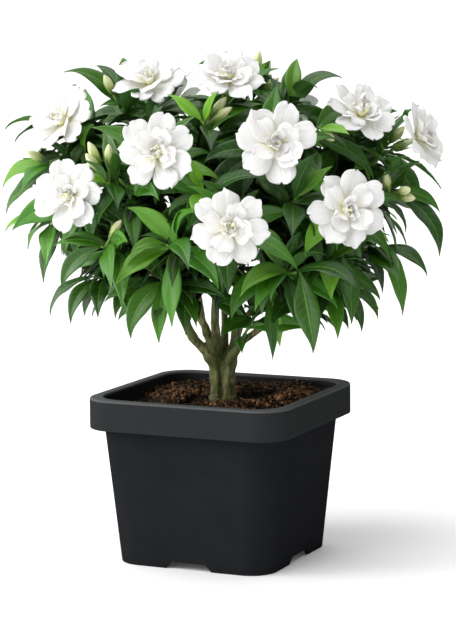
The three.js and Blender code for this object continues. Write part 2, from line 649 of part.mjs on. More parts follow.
function makeWood(shoots) {
  const anchors = [];
  const pieces = [];
  const level = [vec(1, 0, 0), vec(0, 1, 0)];
  const foot = vec(0, 0, COLLAR_BOTTOM);
  const top = vec(0, 0, COLLAR_TOP);
  const collar = [
    ringAbout(foot, level, COLLAR_RADIUS * COLLAR_TAPER, COLLAR_SIDES),
    ringAbout(top, level, COLLAR_RADIUS, COLLAR_SIDES),
  ];
  pieces.push(solidOf(loft(foot, collar, top)));
  for (const limb of Object.values(LIMBS)) {
    const curve = new THREE.CatmullRomCurve3(limb.map(([x, y, z]) => vec(x, y, z)));
    const sides = limb[0][3] > THICK_LIMB ? 7 : 5;
    pieces.push(tube(curve, limb.map((p) => p[3]), limb.length - 1, sides));
    for (let i = 0; i <= LIMB_SAMPLES; i++) {
      const p = curve.getPoint(i / LIMB_SAMPLES);
      if (p.z > TWIG_FROM) anchors.push(p);
    }
  }
  for (const shoot of shoots) {
    const twig = twigFor(shoot, anchors);
    pieces.push(tube(twig, TWIG_RADII, TWIG_RADII.length - 1, STEM_SIDES));
    anchors.push(twig.getPoint(0.5));
  }
  return grown(pieces);
}

// Whether a leaf's tip lies inside the rounded form that the crown is grown to
function insideCrown(tip) {
  const out = Math.hypot(tip.x, tip.y) / CROWN_RADIUS;
  if (tip.z < CROWN_FLOOR + CROWN_FLOOR_RISE * Math.pow(out, 3)) return false;
  const up = Math.max(0, tip.z - CROWN_CENTRE) / CROWN_RISE;
  return Math.pow(out, CROWN_SQUARENESS) + Math.pow(up, CROWN_SQUARENESS) < 1;
}

// Leaves take turns round all the shoots. A leaf that would touch another piece is tried again.
function growLeaves(shoots, fixed) {
  const placed = [];
  const place = (owner, solid) => placed.push({ owner, solid, box: solid.boundingBox() });
  for (const solid of fixed) place(null, solid);
  for (const shoot of shoots) {
    shoot.pieces = [makeStem(shoot), ...(BUDS[shoot.name] ?? []).map((offset) => makeBud(shoot, offset))];
    for (const piece of shoot.pieces) place(shoot, piece);
  }
  const apart = (a, b) => [0, 1, 2].some((i) => a.min[i] > b.max[i] || b.min[i] > a.max[i]);
  const clear = (shoot, guard) => {
    const box = guard.boundingBox();
    return placed.every((other) => {
      if (apart(box, other.box)) return true;
      return guard.intersect(other.solid).volume() < (other.owner === shoot ? OWN_OVERLAP : 1e-6);
    });
  };
  const grow = (shoot, reaching, planFor) => {
    for (let attempt = 0; attempt < LEAF_TRIES; attempt++) {
      const plan = planFor(attempt);
      if (!reaching && !insideCrown(leafSpine(shoot, plan).spine.at(-1))) continue;
      if (![0, FIT_GAP].every((raise) => clear(shoot, leafSolid(shoot, plan, FIT_GAP, raise)))) continue;
      const solid = leafSolid(shoot, plan, 0, 0);
      shoot.pieces.push(solid);
      place(shoot, solid);
      return;
    }
  };
  for (const shoot of shoots) {
    shoot.reaching = REACHING_LEAVES[shoot.name] ?? [];
    shoot.reaching.forEach((target, number) => {
      grow(shoot, true, (attempt) => reachingPlan(shoot, target, number, attempt));
    });
  }
  const most = Math.max(...shoots.map((shoot) => shoot.leaves));
  for (let number = most - 1; number >= 0; number--)
    for (const shoot of shoots)
      if (number >= shoot.reaching.length && number < shoot.leaves)
        grow(shoot, false, (attempt) => leafPlan(shoot, number, attempt));
}

// Materials
const finish = (color, roughness) => new THREE.MeshStandardMaterial({ color, roughness, metalness: 0 });
const POT_BLACK = finish(0x2b2d2f, 0.55);
const SOIL_BROWN = finish(0x4a2f1e, 0.95);
const BARK = finish(0x6b6a45, 0.85);
const LEAF_GREEN = finish(0x2c6a24, 0.4);
const PETAL_WHITE = finish(0xf6f5f0, 0.6);

function named(name, solid, material) {
  const mesh = new THREE.Mesh(geometryOf(solid), material);
  mesh.name = name;
  return mesh;
}

const gardenia = new THREE.Group();
gardenia.add(named("pot", makePot(), POT_BLACK), named("soil", makeSoil(), SOIL_BROWN));

const plant = new THREE.Group();
plant.rotation.z = PLANT_TURN;
gardenia.add(plant);

const shoots = listShoots();
const wood = makeWood(shoots);
plant.add(named("wood", wood, BARK));
const blooms = shoots.filter((shoot) => shoot.bloom).map((shoot) => shoot.bloom);
const flowers = blooms.map(makeBloom);
blooms.forEach((bloom, i) => plant.add(named(bloom.name, flowers[i], PETAL_WHITE)));
growLeaves(shoots, [wood, ...flowers]);
for (const shoot of shoots) plant.add(named(shoot.name, grown(shoot.pieces), LEAF_GREEN));

export default gardenia;
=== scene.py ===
import math

import bpy
import numpy as np
from mathutils import Matrix, Vector, noise


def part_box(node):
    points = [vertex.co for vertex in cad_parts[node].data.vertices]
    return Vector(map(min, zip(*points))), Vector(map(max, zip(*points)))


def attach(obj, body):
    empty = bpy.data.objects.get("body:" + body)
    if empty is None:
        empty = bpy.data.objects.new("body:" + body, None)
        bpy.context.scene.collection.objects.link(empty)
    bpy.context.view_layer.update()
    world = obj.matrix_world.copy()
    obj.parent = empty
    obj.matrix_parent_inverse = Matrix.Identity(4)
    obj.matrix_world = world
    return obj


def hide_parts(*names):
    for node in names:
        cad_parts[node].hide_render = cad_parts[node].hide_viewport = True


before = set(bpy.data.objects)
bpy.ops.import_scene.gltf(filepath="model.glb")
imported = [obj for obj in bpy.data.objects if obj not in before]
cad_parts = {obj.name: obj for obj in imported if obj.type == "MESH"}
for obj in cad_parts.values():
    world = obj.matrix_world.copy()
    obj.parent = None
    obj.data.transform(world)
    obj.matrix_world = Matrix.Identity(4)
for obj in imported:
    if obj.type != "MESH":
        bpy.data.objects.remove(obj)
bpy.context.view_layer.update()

MM = 0.001
UP = np.array([0.0, 0.0, 1.0])
FULL_TURN = 2 * math.pi
ANY_TURN = 6.28
NUDGE = 1e-6

# The camera looks at the pot from this turn, and right and away are measured as it sees them.
PLANT_TURN = math.radians(24.6)

# Driving dimensions shared with the solids
POT_SIDE = 195
POT_HEIGHT = 153
RIM_HEIGHT = 28
BASE_SIDE = 152
MOUTH_SIDE = 175
WALL = 2.5
RIM_CORNER = 29
BASE_CORNER = 25
FLOOR_UNDERSIDE = 7
FOOT_LIP = 1
NOTCH_WIDTH = 46
NOTCH_SLANT = 6
NOTCH_HEIGHT = 6.5
DRAIN_RADIUS = 5
DRAIN_OFFSET = 45
STEM_LENGTH = 45.7
STEM_RADIUS = 1.6
LEAF_WIDTH = 0.34
LEAF_THICK = 1.3
LEAF_FOLD = 0.1
RING_AT = 0.72
RING_SHARE = 0.86
DROOP_CURVE = 1.3
STEEPEST = math.radians(-80)
FRONT_LIGHT = 45
SIDE_LIGHT = 0.4
FACE_UP = 0.6
FACE_OUT = 0.8
PETAL_THICK = 1.2
TUBE_LENGTH = 24
PETAL_ROOT = 1.4
BUD_RING = (0.86, 3.1)
BLOOMS = 15

# What tells the tips of the solid blades, the stem ends and the buds from other points
TIP_GAP = 2.5
THICK_SLACK = 0.05
LEAST_WIDTH = 4
STEM_SLACK = 0.01


def unit(v):
    return v / np.linalg.norm(v)


def units(rows):
    return rows / np.linalg.norm(rows, axis=1)[:, None]


def turned(a, b, angle):
    return a * np.cos(angle) + b * np.sin(angle)


def square_to(axis):
    across = unit(np.array([-axis[1], axis[0], 0.001]))
    return across, np.cross(axis, across)


def levelled(v):
    return unit(np.array([v[0], v[1], 0.0]) + NUDGE)


def in_photo(x, y):
    """How far right and away the photo sees a place on the plan."""
    c, s = math.cos(PLANT_TURN), math.sin(PLANT_TURN)
    return c * x + s * y, -s * x + c * y


def on_plan(right, away):
    """The place on the plan that the photo sees so far right and away."""
    c, s = math.cos(PLANT_TURN), math.sin(PLANT_TURN)
    return c * right - s * away, s * right + c * away


def seed_of(text):
    value = 7
    for letter in text:
        value = (value * 131 + ord(letter)) % 1000003
    return value


# Reading of the solids
def vertex_rows(mesh, key):
    """A vector that each vertex has, one in a row."""
    rows = np.zeros(len(mesh.vertices) * 3)
    mesh.vertices.foreach_get(key, rows)
    return rows.reshape(-1, 3)


def skin_of(node):
    """Welded points, faces and each point's neighbours."""
    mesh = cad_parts[node].data
    mesh.calc_loop_triangles()
    points = vertex_rows(mesh, "co") / MM
    faces = np.zeros(len(mesh.loop_triangles) * 3, np.int64)
    mesh.loop_triangles.foreach_get("vertices", faces)
    keys = np.round(points / 0.001).astype(np.int64)
    _, first, inverse = np.unique(keys, axis=0, return_index=True, return_inverse=True)
    faces = inverse.reshape(-1)[faces.reshape(-1, 3)]
    near = {}
    for a, b, c in faces:
        if a != b and b != c and c != a:
            for v, w in ((a, b), (b, c), (c, a)):
                near.setdefault(v, set()).add(w)
                near.setdefault(w, set()).add(v)
    return points[first], faces, near


def blade_tips(points, near, thick):
    """The tips of the blades, each with the two edges and the keel of the ring before it."""
    tips = []
    for v, ring in near.items():
        if len(ring) != 3:
            continue
        q = points[sorted(ring)]
        if np.linalg.norm(q - points[v], axis=1).min() < TIP_GAP:
            continue
        errors = [abs(np.linalg.norm(q[k] - (q[k - 1] + q[k - 2]) / 2) - thick) for k in range(3)]
        k = int(np.argmin(errors))
        edges = q[k - 1], q[k - 2]
        if errors[k] < THICK_SLACK and np.linalg.norm(edges[0] - edges[1]) > LEAST_WIDTH:
            tips.append((points[v], *edges, q[k]))
    return tips


def stem_of(points, faces):
    """The base and the direction of a shoot's stem, from its three-sided end."""
    side = STEM_RADIUS * math.sqrt(3)
    for face in faces:
        p = points[face]
        if all(abs(np.linalg.norm(p[k] - p[k - 1]) - side) < STEM_SLACK for k in range(3)):
            return p.mean(0), -unit(np.cross(p[1] - p[0], p[2] - p[0]))
    raise RuntimeError("a shoot has no stem end")


# Building of meshes
def placed(name, data):
    """A new object in the scene."""
    piece = bpy.data.objects.new(name, data)
    bpy.context.scene.collection.objects.link(piece)
    return piece


class Skin:
    """The points, faces and point values of one piece."""

    def __init__(self):
        self.points, self.faces, self.values, self.count = [], [], {}, 0

    def add(self, points, faces, **values):
        points = np.asarray(points, float)
        self.points.append(points)
        self.faces += [tuple(i + self.count for i in face) for face in faces]
        for name in set(values) | set(self.values):
            rows = self.values.setdefault(name, [np.zeros(self.count)] if self.count else [])
            given = values.get(name, 0.0)
            rows.append(np.broadcast_to(np.asarray(given, float), (len(points),)).copy())
        self.count += len(points)

    def build(self, name, material, slot, *nodes):
        mesh = bpy.data.meshes.new(name)
        points = np.vstack(self.points) * MM
        mesh.from_pydata(points.tolist(), [], self.faces)
        for key, rows in self.values.items():
            layer = mesh.attributes.new(key, "FLOAT", "POINT")
            layer.data.foreach_set("value", np.concatenate(rows).astype(np.float32))
        mesh.polygons.foreach_set("use_smooth", [True] * len(mesh.polygons))
        mesh.materials.append(material)
        mesh.update()
        piece = placed(name, mesh)
        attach(piece, "root")
        if nodes:
            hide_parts(*nodes)
        return piece


def slab_faces(rows, columns):
    """Faces of a closed slab: a top grid, a bottom grid and the border between them."""
    count = rows * columns
    faces = []
    for r in range(rows - 1):
        for c in range(columns - 1):
            a, b = r * columns + c, (r + 1) * columns + c
            faces.append((a, b, b + 1, a + 1))
            faces.append((count + a, count + a + 1, count + b + 1, count + b))
    rim = list(range(columns))
    rim += [r * columns + columns - 1 for r in range(1, rows)]
    rim += [(rows - 1) * columns + c for c in range(columns - 2, -1, -1)]
    rim += [r * columns for r in range(rows - 2, 0, -1)]
    for k, a in enumerate(rim):
        b = rim[(k + 1) % len(rim)]
        faces.append((a, b, count + b, count + a))
    return faces


def add_slab(skin, top, normals, thick, **values):
    """A sheet with its upper side at the top grid and a thickness below it."""
    rows, columns = top.shape[:2]
    bottom = top - normals * thick[..., None]
    points = np.concatenate([top.reshape(-1, 3), bottom.reshape(-1, 3)])
    doubled = {k: np.tile(np.broadcast_to(v, (rows, columns)).reshape(-1), 2) for k, v in values.items()}
    under = np.repeat([0.0, 1.0], rows * columns)
    skin.add(points, slab_faces(rows, columns), under=under, **doubled)


def ring_faces(rings, sides):
    """Faces of a row of rings, with a cap at both ends."""
    faces = []
    for r in range(rings - 1):
        for k in range(sides):
            a, b = r * sides + k, r * sides + (k + 1) % sides
            faces.append((a, b, b + sides, a + sides))
    faces.append(tuple(range(sides - 1, -1, -1)))
    faces.append(tuple((rings - 1) * sides + k for k in range(sides)))
    return faces


def add_tube(skin, line, radii, sides=8, **values):
    """A round tube along a line, with closed ends."""
    line = np.asarray(line, float)
    flow = units(np.gradient(line, axis=0))
    across, _ = square_to(flow[0])
    rings = []
    for p, d, r in zip(line, flow, radii):
        across = unit(across - d * np.dot(across, d))
        upward = np.cross(d, across)
        for k in range(sides):
            rings.append(p + r * turned(across, upward, FULL_TURN * k / sides))
    values = {k: np.repeat(v, sides) if np.ndim(v) else v for k, v in values.items()}
    skin.add(rings, ring_faces(len(line), sides), **values)


def at_stations(stations, fine, rows):
    """The values of a fine line, read at other stations along it."""
    return np.stack([np.interp(stations, fine, rows[:, k]) for k in range(3)], -1)


# Leaves. An outline gives the half width at shares of the length.
LEAF_OUTLINE = (
    (0, 0.06), (0.04, 0.08), (0.1, 0.22), (0.2, 0.54), (0.32, 0.84), (0.44, 1.0), (0.55, 0.97),
    (0.66, 0.79), (0.76, 0.54), (0.85, 0.3), (0.92, 0.15), (0.97, 0.06), (1, 0.01),
)
LEAF_STEPS = 60
LEAST_DROOP = math.radians(12)
MOST_DROOP = math.radians(85)
CURL_FROM = 0.7
LEAF_ROWS = 17
LEAF_COLUMNS = 9
SMALL_GRID = (9, 5)
VEIN_PAIRS = 9
VEIN_SPREAD = 1.15
VEIN_SLANT = 1.1
BLADE_SHEET = 0.34
RIB_SHEET = 0.5
PLAIN_FOLD = 0.2
YOUNG_LENGTH = 50
YOUNG_DEPTH = 12
BRIGHT_SHARE = 0.16


def faced_by(stem_tip):
    """The direction that the leaves of a shoot face: up and out of the crown."""
    right, away = in_photo(stem_tip[0], stem_tip[1])
    out = unit(np.array([SIDE_LIGHT * right, away - FRONT_LIGHT]))
    return unit(UP * FACE_UP + np.array([*on_plan(*out), 0.0]) * FACE_OUT)


def leaf_from(tip, edge_a, edge_b, keel, stem_tip):
    """The line of one leaf, worked out from its tip and the ring before it."""
    middle = (edge_a + edge_b) / 2
    normal = unit(middle - keel)
    side = unit(edge_a - edge_b)
    if np.dot(np.cross(side, normal), tip - middle) < 0:
        side = -side
    direction = np.cross(side, normal)
    length = np.linalg.norm(edge_a - edge_b) / (RING_SHARE * LEAF_WIDTH)
    half = length * LEAF_WIDTH / 2
    centre = middle - normal * (LEAF_FOLD * RING_SHARE * half)
    chord = tip - centre
    level = unit(np.array([chord[0], chord[1], 0.0]))
    here, beyond = (math.atan2(d[2], float(np.dot(d, level))) for d in (direction, chord))
    droop = (here - beyond) / (((1 + RING_AT) / 2) ** DROOP_CURVE - RING_AT**DROOP_CURVE)
    droop = min(max(droop, LEAST_DROOP), MOST_DROOP)
    rise = here + droop * RING_AT**DROOP_CURVE
    bright = faced_by(stem_tip)
    flat = unit(bright - direction * np.dot(bright, direction))
    roll = math.atan2(float(np.dot(np.cross(flat, normal), direction)), float(np.dot(flat, normal)))
    return dict(length=length, half=half, centre=centre, level=level, rise=rise, droop=droop,
                bright=bright, roll=roll)


def leaf_line(leaf, stations, tip_curl=0.0):
    """Points, sides and normals along a leaf, through its ring's centre."""
    fine = np.linspace(0, 1, LEAF_STEPS + 1)
    heading = np.maximum(leaf["rise"] - leaf["droop"] * fine**DROOP_CURVE, STEEPEST)
    heading -= tip_curl * np.clip((fine - CURL_FROM) / (1 - CURL_FROM), 0, 1) ** 2
    flow = turned(leaf["level"], UP, heading[:, None])
    steps = (flow[1:] + flow[:-1]) / 2 * leaf["length"] / LEAF_STEPS
    line = np.vstack([np.zeros(3), np.cumsum(steps, axis=0)])
    line += leaf["centre"] - at_stations(RING_AT, fine, line)
    flow = units(at_stations(stations, fine, flow))
    normals = units(leaf["bright"] - flow * (flow @ leaf["bright"])[:, None])
    normals = turned(normals, np.cross(flow, normals), leaf["roll"])
    return at_stations(stations, fine, line), np.cross(normals, flow), normals


def root_of(leaf):
    return leaf_line(leaf, np.zeros(1))[0][0]


# deep darkens a leaf towards black, as painted shade for leaves deep in the crown.
def add_leaf(skin, leaf, rng, young, deep=0.0, rows=LEAF_ROWS, columns=LEAF_COLUMNS):
    """A folded blade, waved at its edge and raised between its side veins."""
    s = np.linspace(0, 1, rows) ** 0.94
    v = np.linspace(-1, 1, columns)
    v = np.sign(v) * np.abs(v) ** 0.85
    points, sides, normals = leaf_line(leaf, s, rng.uniform(0.05, 0.4))
    half = leaf["half"] * np.interp(s, *zip(*LEAF_OUTLINE)) * rng.uniform(0.92, 1.08)
    sway = leaf["half"] * 0.08 * np.sin(np.pi * s * rng.uniform(0.8, 1.6)) * rng.choice([-1, 1])
    s, v, w = s[:, None], v[None, :], half[:, None]
    a = np.abs(v)
    waves_along = rng.uniform(1.6, 2.8) * s + 0.35 * np.sign(v)
    wave = np.sin(FULL_TURN * waves_along + rng.uniform(0, ANY_TURN))
    quilt = np.cos(FULL_TURN * (s * VEIN_PAIRS * VEIN_SPREAD - a * VEIN_SLANT)) * a * (1 - a) * 4
    fold = leaf.get("fold", PLAIN_FOLD)
    rise = w * (fold * a + 0.3 * a * (1 - a) + 0.09 * wave * a**2)
    rise = rise - 0.02 * leaf["half"] * quilt * (w > 1)
    top = points[:, None] + sides[:, None] * (v * w + sway[:, None])[..., None]
    top = top + normals[:, None] * rise[..., None]
    thick = BLADE_SHEET + RIB_SHEET * np.clip(1 - a * 3, 0, 1)
    add_slab(skin, top, normals[:, None], thick, along=s, across=v, tint=rng.uniform(0, 0.45),
             young=young, deep=deep)


def leaf_at(root, level, rise, droop, length, rng):
    """The line of a leaf that starts at a place on a stem."""
    half = length * LEAF_WIDTH / 2 * rng.uniform(0.85, 1)
    leaf = dict(length=length, half=half, level=level, rise=rise, droop=droop, centre=np.zeros(3))
    leaf["bright"] = unit(UP * 0.8 + level * 0.5 + rng.uniform(-0.3, 0.3, 3))
    leaf["roll"] = rng.uniform(-0.3, 0.3)
    leaf["centre"] = root - root_of(leaf)
    return leaf


# The small leaves behind the others, and what of the trunk's fork they leave bare
STEM_FILLERS = 8
TWIG_FILLERS = 22
FILLER_TURN = 2.4
MOST_RISE = 1.25
TWIG_NEAREST = 6
TWIG_FURTHEST = 80
BARE_RADIUS = 42
BARE_HEIGHT = 268
LEAVES_FROM = 225


def add_fillers(skin, base, axis, rng, twigs):
    """Smaller leaves lower on the stem and on the twig that bears it."""
    across, upward = square_to(axis)
    spin = rng.uniform(0, ANY_TURN)
    for k in range(STEM_FILLERS):
        at = base + axis * (STEM_LENGTH * (0.03 + 0.11 * k + rng.uniform(-0.03, 0.03)))
        out = turned(across, upward, spin + FILLER_TURN * k)
        heading = out + axis * rng.uniform(0.4, 1.1)
        rise = math.atan2(heading[2], math.hypot(heading[0], heading[1])) + rng.uniform(0, 0.35)
        leaf = leaf_at(at, levelled(heading), min(rise, MOST_RISE), rng.uniform(0.5, 1.3),
                       rng.uniform(34, 52), rng)
        add_leaf(skin, leaf, rng, rng.uniform(0, 0.1), rng.uniform(0, 0.7), *SMALL_GRID)
    gap = np.linalg.norm(twigs - base, axis=1)
    keep = (gap > TWIG_NEAREST) & (gap < TWIG_FURTHEST) & (twigs[:, 2] > LEAVES_FROM)
    keep &= (np.hypot(twigs[:, 0], twigs[:, 1]) > BARE_RADIUS) | (twigs[:, 2] > BARE_HEIGHT)
    spots = twigs[keep]
    for _ in range(min(len(spots), TWIG_FILLERS)):
        at = spots[rng.integers(len(spots))]
        away = unit(np.array([at[0], at[1], 0.0]) + rng.uniform(-60, 60, 3) * (1, 1, 0))
        leaf = leaf_at(at, away, rng.uniform(-0.3, 1.1), rng.uniform(0.3, 1.2), rng.uniform(38, 60), rng)
        add_leaf(skin, leaf, rng, 0.0, rng.uniform(0.6, 1), *SMALL_GRID)


def grow_shoot(node, twigs):
    points, faces, near = skin_of(node)
    base, axis = stem_of(points, faces)
    tip = base + axis * STEM_LENGTH
    rng = np.random.default_rng(seed_of(node))
    skin = Skin()
    steps = np.linspace(0, 1, 9)
    line = base + np.outer(steps * STEM_LENGTH, axis)
    joints = 1 + 0.12 * np.cos(steps * 8 * math.pi)
    add_tube(skin, line, (1.45 - 0.4 * steps) * joints, along=0.5, across=0.4, tint=0.7, young=0.3, stem=1.0)
    for found in blade_tips(points, near, LEAF_THICK):
        leaf = leaf_from(*found, tip)
        depth = float(np.dot(tip - root_of(leaf), axis))
        fresh = leaf["length"] < YOUNG_LENGTH and depth < YOUNG_DEPTH
        leaf["fold"] = rng.uniform(0.12, 0.34)
        leaf["half"] *= rng.uniform(0.74, 0.98)
        leaf["roll"] += rng.uniform(-0.35, 0.35)
        young = rng.uniform(0.6, 1.0) if fresh else rng.uniform(0, 0.16)
        add_leaf(skin, leaf, rng, rng.uniform(0.3, 0.75) if rng.uniform() < BRIGHT_SHARE else young)
    add_fillers(skin, base, axis, rng, twigs)
    skin.build(f"leaves_{node}", LEAF, "leaf", node)
    buds = Skin()
    for root, end in buds_of(points, near):
        add_bud(buds, root, end, rng)
    if buds.count:
        buds.build(f"buds_{node}", BUD, "petal")


# Right, away and height of the places in the crown that leaves from the twigs behind them fill
INNER_PLACES = (
    (44, -30, 282), (36, 10, 268), (-52, -20, 330), (-46, 10, 322), (28, 0, 345), (12, -20, 262),
    (60, 0, 300), (-20, -30, 300), (20, 30, 300), (-30, 20, 280), (52, 40, 285), (0, 50, 280),
    (-60, 40, 290), (30, -40, 315),
)
INNER_LEAVES = 7
INNER_SEED = 77
NEAREST_TWIGS = 8


def fill_crown(twigs):
    skin = Skin()
    rng = np.random.default_rng(INNER_SEED)
    for right, away, height in INNER_PLACES:
        place = np.array([*on_plan(right, away), height])
        order = np.argsort(np.linalg.norm(twigs - place, axis=1))
        for _ in range(INNER_LEAVES):
            root = twigs[order[rng.integers(NEAREST_TWIGS)]]
            heading = unit(place + rng.uniform(-26, 26, 3) - root + 1e-3)
            rise = math.asin(np.clip(heading[2], -0.9, 0.9)) + 0.25
            leaf = leaf_at(root, levelled(heading), rise, rng.uniform(0.3, 0.9), rng.uniform(42, 60), rng)
            add_leaf(skin, leaf, rng, 0.0, rng.uniform(0.6, 1), *SMALL_GRID)
    skin.build("leaves_inner", LEAF, "leaf")


# Petals. An outline gives the half width at shares of the length.
PETAL_OUTLINE = (
    (0, 0.22), (0.14, 0.32), (0.3, 0.54), (0.44, 0.78), (0.56, 0.95), (0.68, 1.02), (0.78, 1.0),
    (0.86, 0.92), (0.92, 0.8), (0.965, 0.63), (0.99, 0.46), (1, 0.3),
)
PETAL_STEPS = 40
PETAL_GRID = (17, 11)
CORE_GRID = (11, 7)

# The whorls. A pair of numbers gives the range that each petal's own value is drawn from.
OUTER_COUNT = 7
OUTER = dict(length=34, half=11.5, rise=30, bend=40, seat=-0.6, tilt=0.16, cup=0.0, ruffle=1.0, layer=0.1)
MIDDLE = dict(
    count=4, turn=25, spread=0.22, length=(22, 27), half=(8.8, 10.8), rise=(38, 56), bend=(34, 50),
    seat=1.8, tilt=(0.05, 0.35), cup=0.12, ruffle=0.9, layer=0.45,
)
INNER = dict(
    count=3, turn=60, spread=0.35, length=(14, 19), half=(6, 8.2), rise=(54, 74), bend=(20, 48),
    seat=3.2, tilt=0.3, cup=0.34, ruffle=1.2, layer=0.7,
)
CORE = dict(
    count=4, turn=20, spread=0.4, length=(11, 15), half=(3.6, 5.2), rise=84, bend=(-10, 30),
    seat=3.6, tilt=0.3, cup=0.6, ruffle=1.2, layer=1.0,
)

# How far from the axis the tips of the solid's two whorls end, and how near a tip stands to its petal
OUTER_FROM = 24.5
MIDDLE_FROM = 14
TIP_TURN = 0.2

# The heart and the calyx: where along them their rings lie, with the radii and tones of the rings
STAMENS = 7
STAMEN_AT = np.array([0, 0.5, 0.65, 0.85, 1])
STAMEN_RADII = (1.0, 1.2, 1.7, 1.4, 0.4)
STAMEN_TONES = (0, 0.3, 0.6, 0.8, 0.9)
STYLE_AT = (0, 5, 8, 10, 12, 14)
STYLE_RADII = (1.2, 1.3, 1.5, 1.6, 1.2, 0.3)
STYLE_TONES = (0, 0.2, 0.4, 0.5, 0.6, 0.6)
DOME_AT = (3, 7, 9.5, 11, 12, 12.4)
DOME_RADII = (3.4, 4.4, 4.2, 3.2, 1.8, 0.4)
CALYX_AT = np.array([0.2, 1.5, 4, 6.5, 9, 12, 17, 21, 24, 27])
CALYX_RADII = (1.9, 3.1, 3.9, 3.7, 2.9, 2.5, 2.5, 2.8, 3.4, 2.0)
SEPALS = 6
SEPAL_AT = np.linspace(0, 1, 6)
SEPAL_RADII = (0.9, 0.95, 0.85, 0.65, 0.4, 0.1)


def petal_relief(s, v, w, size, petal, rng):
    """How far a petal's face is lifted, how far its edge is drawn out, and how far it sways."""
    ruffle = petal["ruffle"]
    phase = rng.uniform(0, ANY_TURN, 5)
    sway = rng.uniform(-1, 1, 3)
    a = np.abs(v)
    edge = np.sin(v * 2.9 + phase[0]) + np.sin(s * 8 + v * 2.4 + phase[1]) * 0.85
    edge = edge + np.sin(s * 19 + v * 5 + phase[4]) * 0.35 * a
    crease = np.sin(v * 6 + s * 2.2 + phase[2]) * 0.4 + np.sin(v * 11 + phase[3]) * 0.16
    gutter = -0.9 * np.exp(-((v * 5) ** 2)) * (1 - s**3)
    lift = w * (petal["cup"] + 0.12 * sway[0]) * a**1.6 + w * 0.14 * sway[1] * v * s
    lift = lift + ruffle * size * (edge * s**2 * (0.3 + a) * 1.15 + crease * s + gutter)
    notch = size * 1.2 * ruffle * np.sin(v * 3.6 + phase[1]) * s**5
    notch = notch + size * 0.6 * ruffle * np.sin(v * 8 + phase[2]) * s**8
    notch = notch - size * 1.6 * a**2 * s**6
    return lift, notch, size * 2.2 * sway[2] * s**2


def add_petal(skin, bloom, turn, petal, rng, grid=PETAL_GRID):
    """A petal that rises from the axis and bends back."""
    centre, axis, across, upward, size = bloom
    out = turned(across, upward, turn)
    around = np.cross(axis, out)
    s = 1 - (1 - np.linspace(0, 1, grid[0])) ** 1.4
    fine = np.linspace(0, 1, PETAL_STEPS + 1)
    flow = turned(out, axis, np.radians(petal["rise"] - petal["bend"] * fine**2)[:, None])
    steps = (flow[1:] + flow[:-1]) / 2 * size * petal["length"] / PETAL_STEPS
    line = np.vstack([np.zeros(3), np.cumsum(steps, axis=0)])
    points = at_stations(s, fine, line + centre + axis * petal["seat"] + out * PETAL_ROOT)
    normals = turned(axis, -out, np.radians(petal["rise"] - petal["bend"] * s**2)[:, None])
    sides = units(around + normals * petal["tilt"])
    forward = units(np.gradient(points, axis=0))
    w = petal["half"] * size * np.interp(s, *zip(*PETAL_OUTLINE))[:, None]
    s, v = s[:, None], np.linspace(-1, 1, grid[1])[None, :]
    lift, notch, sway = petal_relief(s, v, w, size, petal, rng)
    curl = np.sqrt(np.clip(1 - (v * 0.55) ** 2, 0, 1))
    top = points[:, None] + sides[:, None] * (v * w * (0.9 + 0.1 * curl))[..., None]
    top = top + normals[:, None] * lift[..., None]
    top = top + forward[:, None] * notch[..., None]
    top = top + around * sway[..., None]
    add_slab(skin, top, normals[:, None], 0.55 - 0.2 * np.abs(v), along=s, across=v,
             layer=petal["layer"], tint=rng.uniform())


def outer_reach():
    """How far from the axis and above its plane a solid outer petal ends, at size 1."""
    fine = (np.arange(PETAL_STEPS) + 0.5) / PETAL_STEPS
    angle = np.radians(OUTER["rise"] - OUTER["bend"] * fine**2)
    step = OUTER["length"] / PETAL_STEPS
    return PETAL_ROOT + step * np.cos(angle).sum(), step * np.sin(angle).sum()


def whorl_miss(tips, count, roll, offset=0.0):
    """How badly evenly spread petals fit the turns of some tips."""
    return sum(1 - math.cos(count * (t[0] - roll - offset)) for t in tips) / max(1, len(tips))


def best_roll(outer, middle):
    """The turn of the first petal that fits the tips of both whorls best."""
    offset = math.radians(MIDDLE["turn"])

    def miss(roll):
        return whorl_miss(outer, OUTER_COUNT, roll) + whorl_miss(middle, MIDDLE["count"], roll, offset)

    return min((math.radians(step) for step in range(360)), key=miss)


def add_outer_petals(skin, bloom, roll, tips, rng):
    """The outer whorl, where each petal ends at the tip that the solid has near it."""
    far_plain, high_plain = outer_reach()
    run_plain = far_plain - PETAL_ROOT
    for k in range(OUTER_COUNT):
        turn = roll + FULL_TURN * k / OUTER_COUNT
        petal = dict(OUTER)
        close = [t for t in tips if abs(math.remainder(t[0] - turn, FULL_TURN)) < TIP_TURN]
        if close:
            turn, far, high = close[0]
            run = far - PETAL_ROOT
            petal["length"] *= math.hypot(run, high) / math.hypot(run_plain, high_plain) / bloom[-1]
            petal["rise"] += math.degrees(math.atan2(high, run) - math.atan2(high_plain, run_plain))
        petal["half"] *= rng.uniform(0.88, 1.1)
        petal["tilt"] += rng.uniform(-0.1, 0.1)
        add_petal(skin, bloom, turn, petal, rng)


def add_whorl(skin, bloom, whorl, roll, rng, grid=PETAL_GRID):
    """A whorl whose petals each draw their own shape."""
    for k in range(whorl["count"]):
        turn = roll + math.radians(whorl["turn"]) + FULL_TURN * k / whorl["count"]
        turn += rng.uniform(-whorl["spread"], whorl["spread"])
        petal = {key: rng.uniform(*v) if isinstance(v, tuple) else v for key, v in whorl.items()}
        add_petal(skin, bloom, turn, petal, rng, grid)


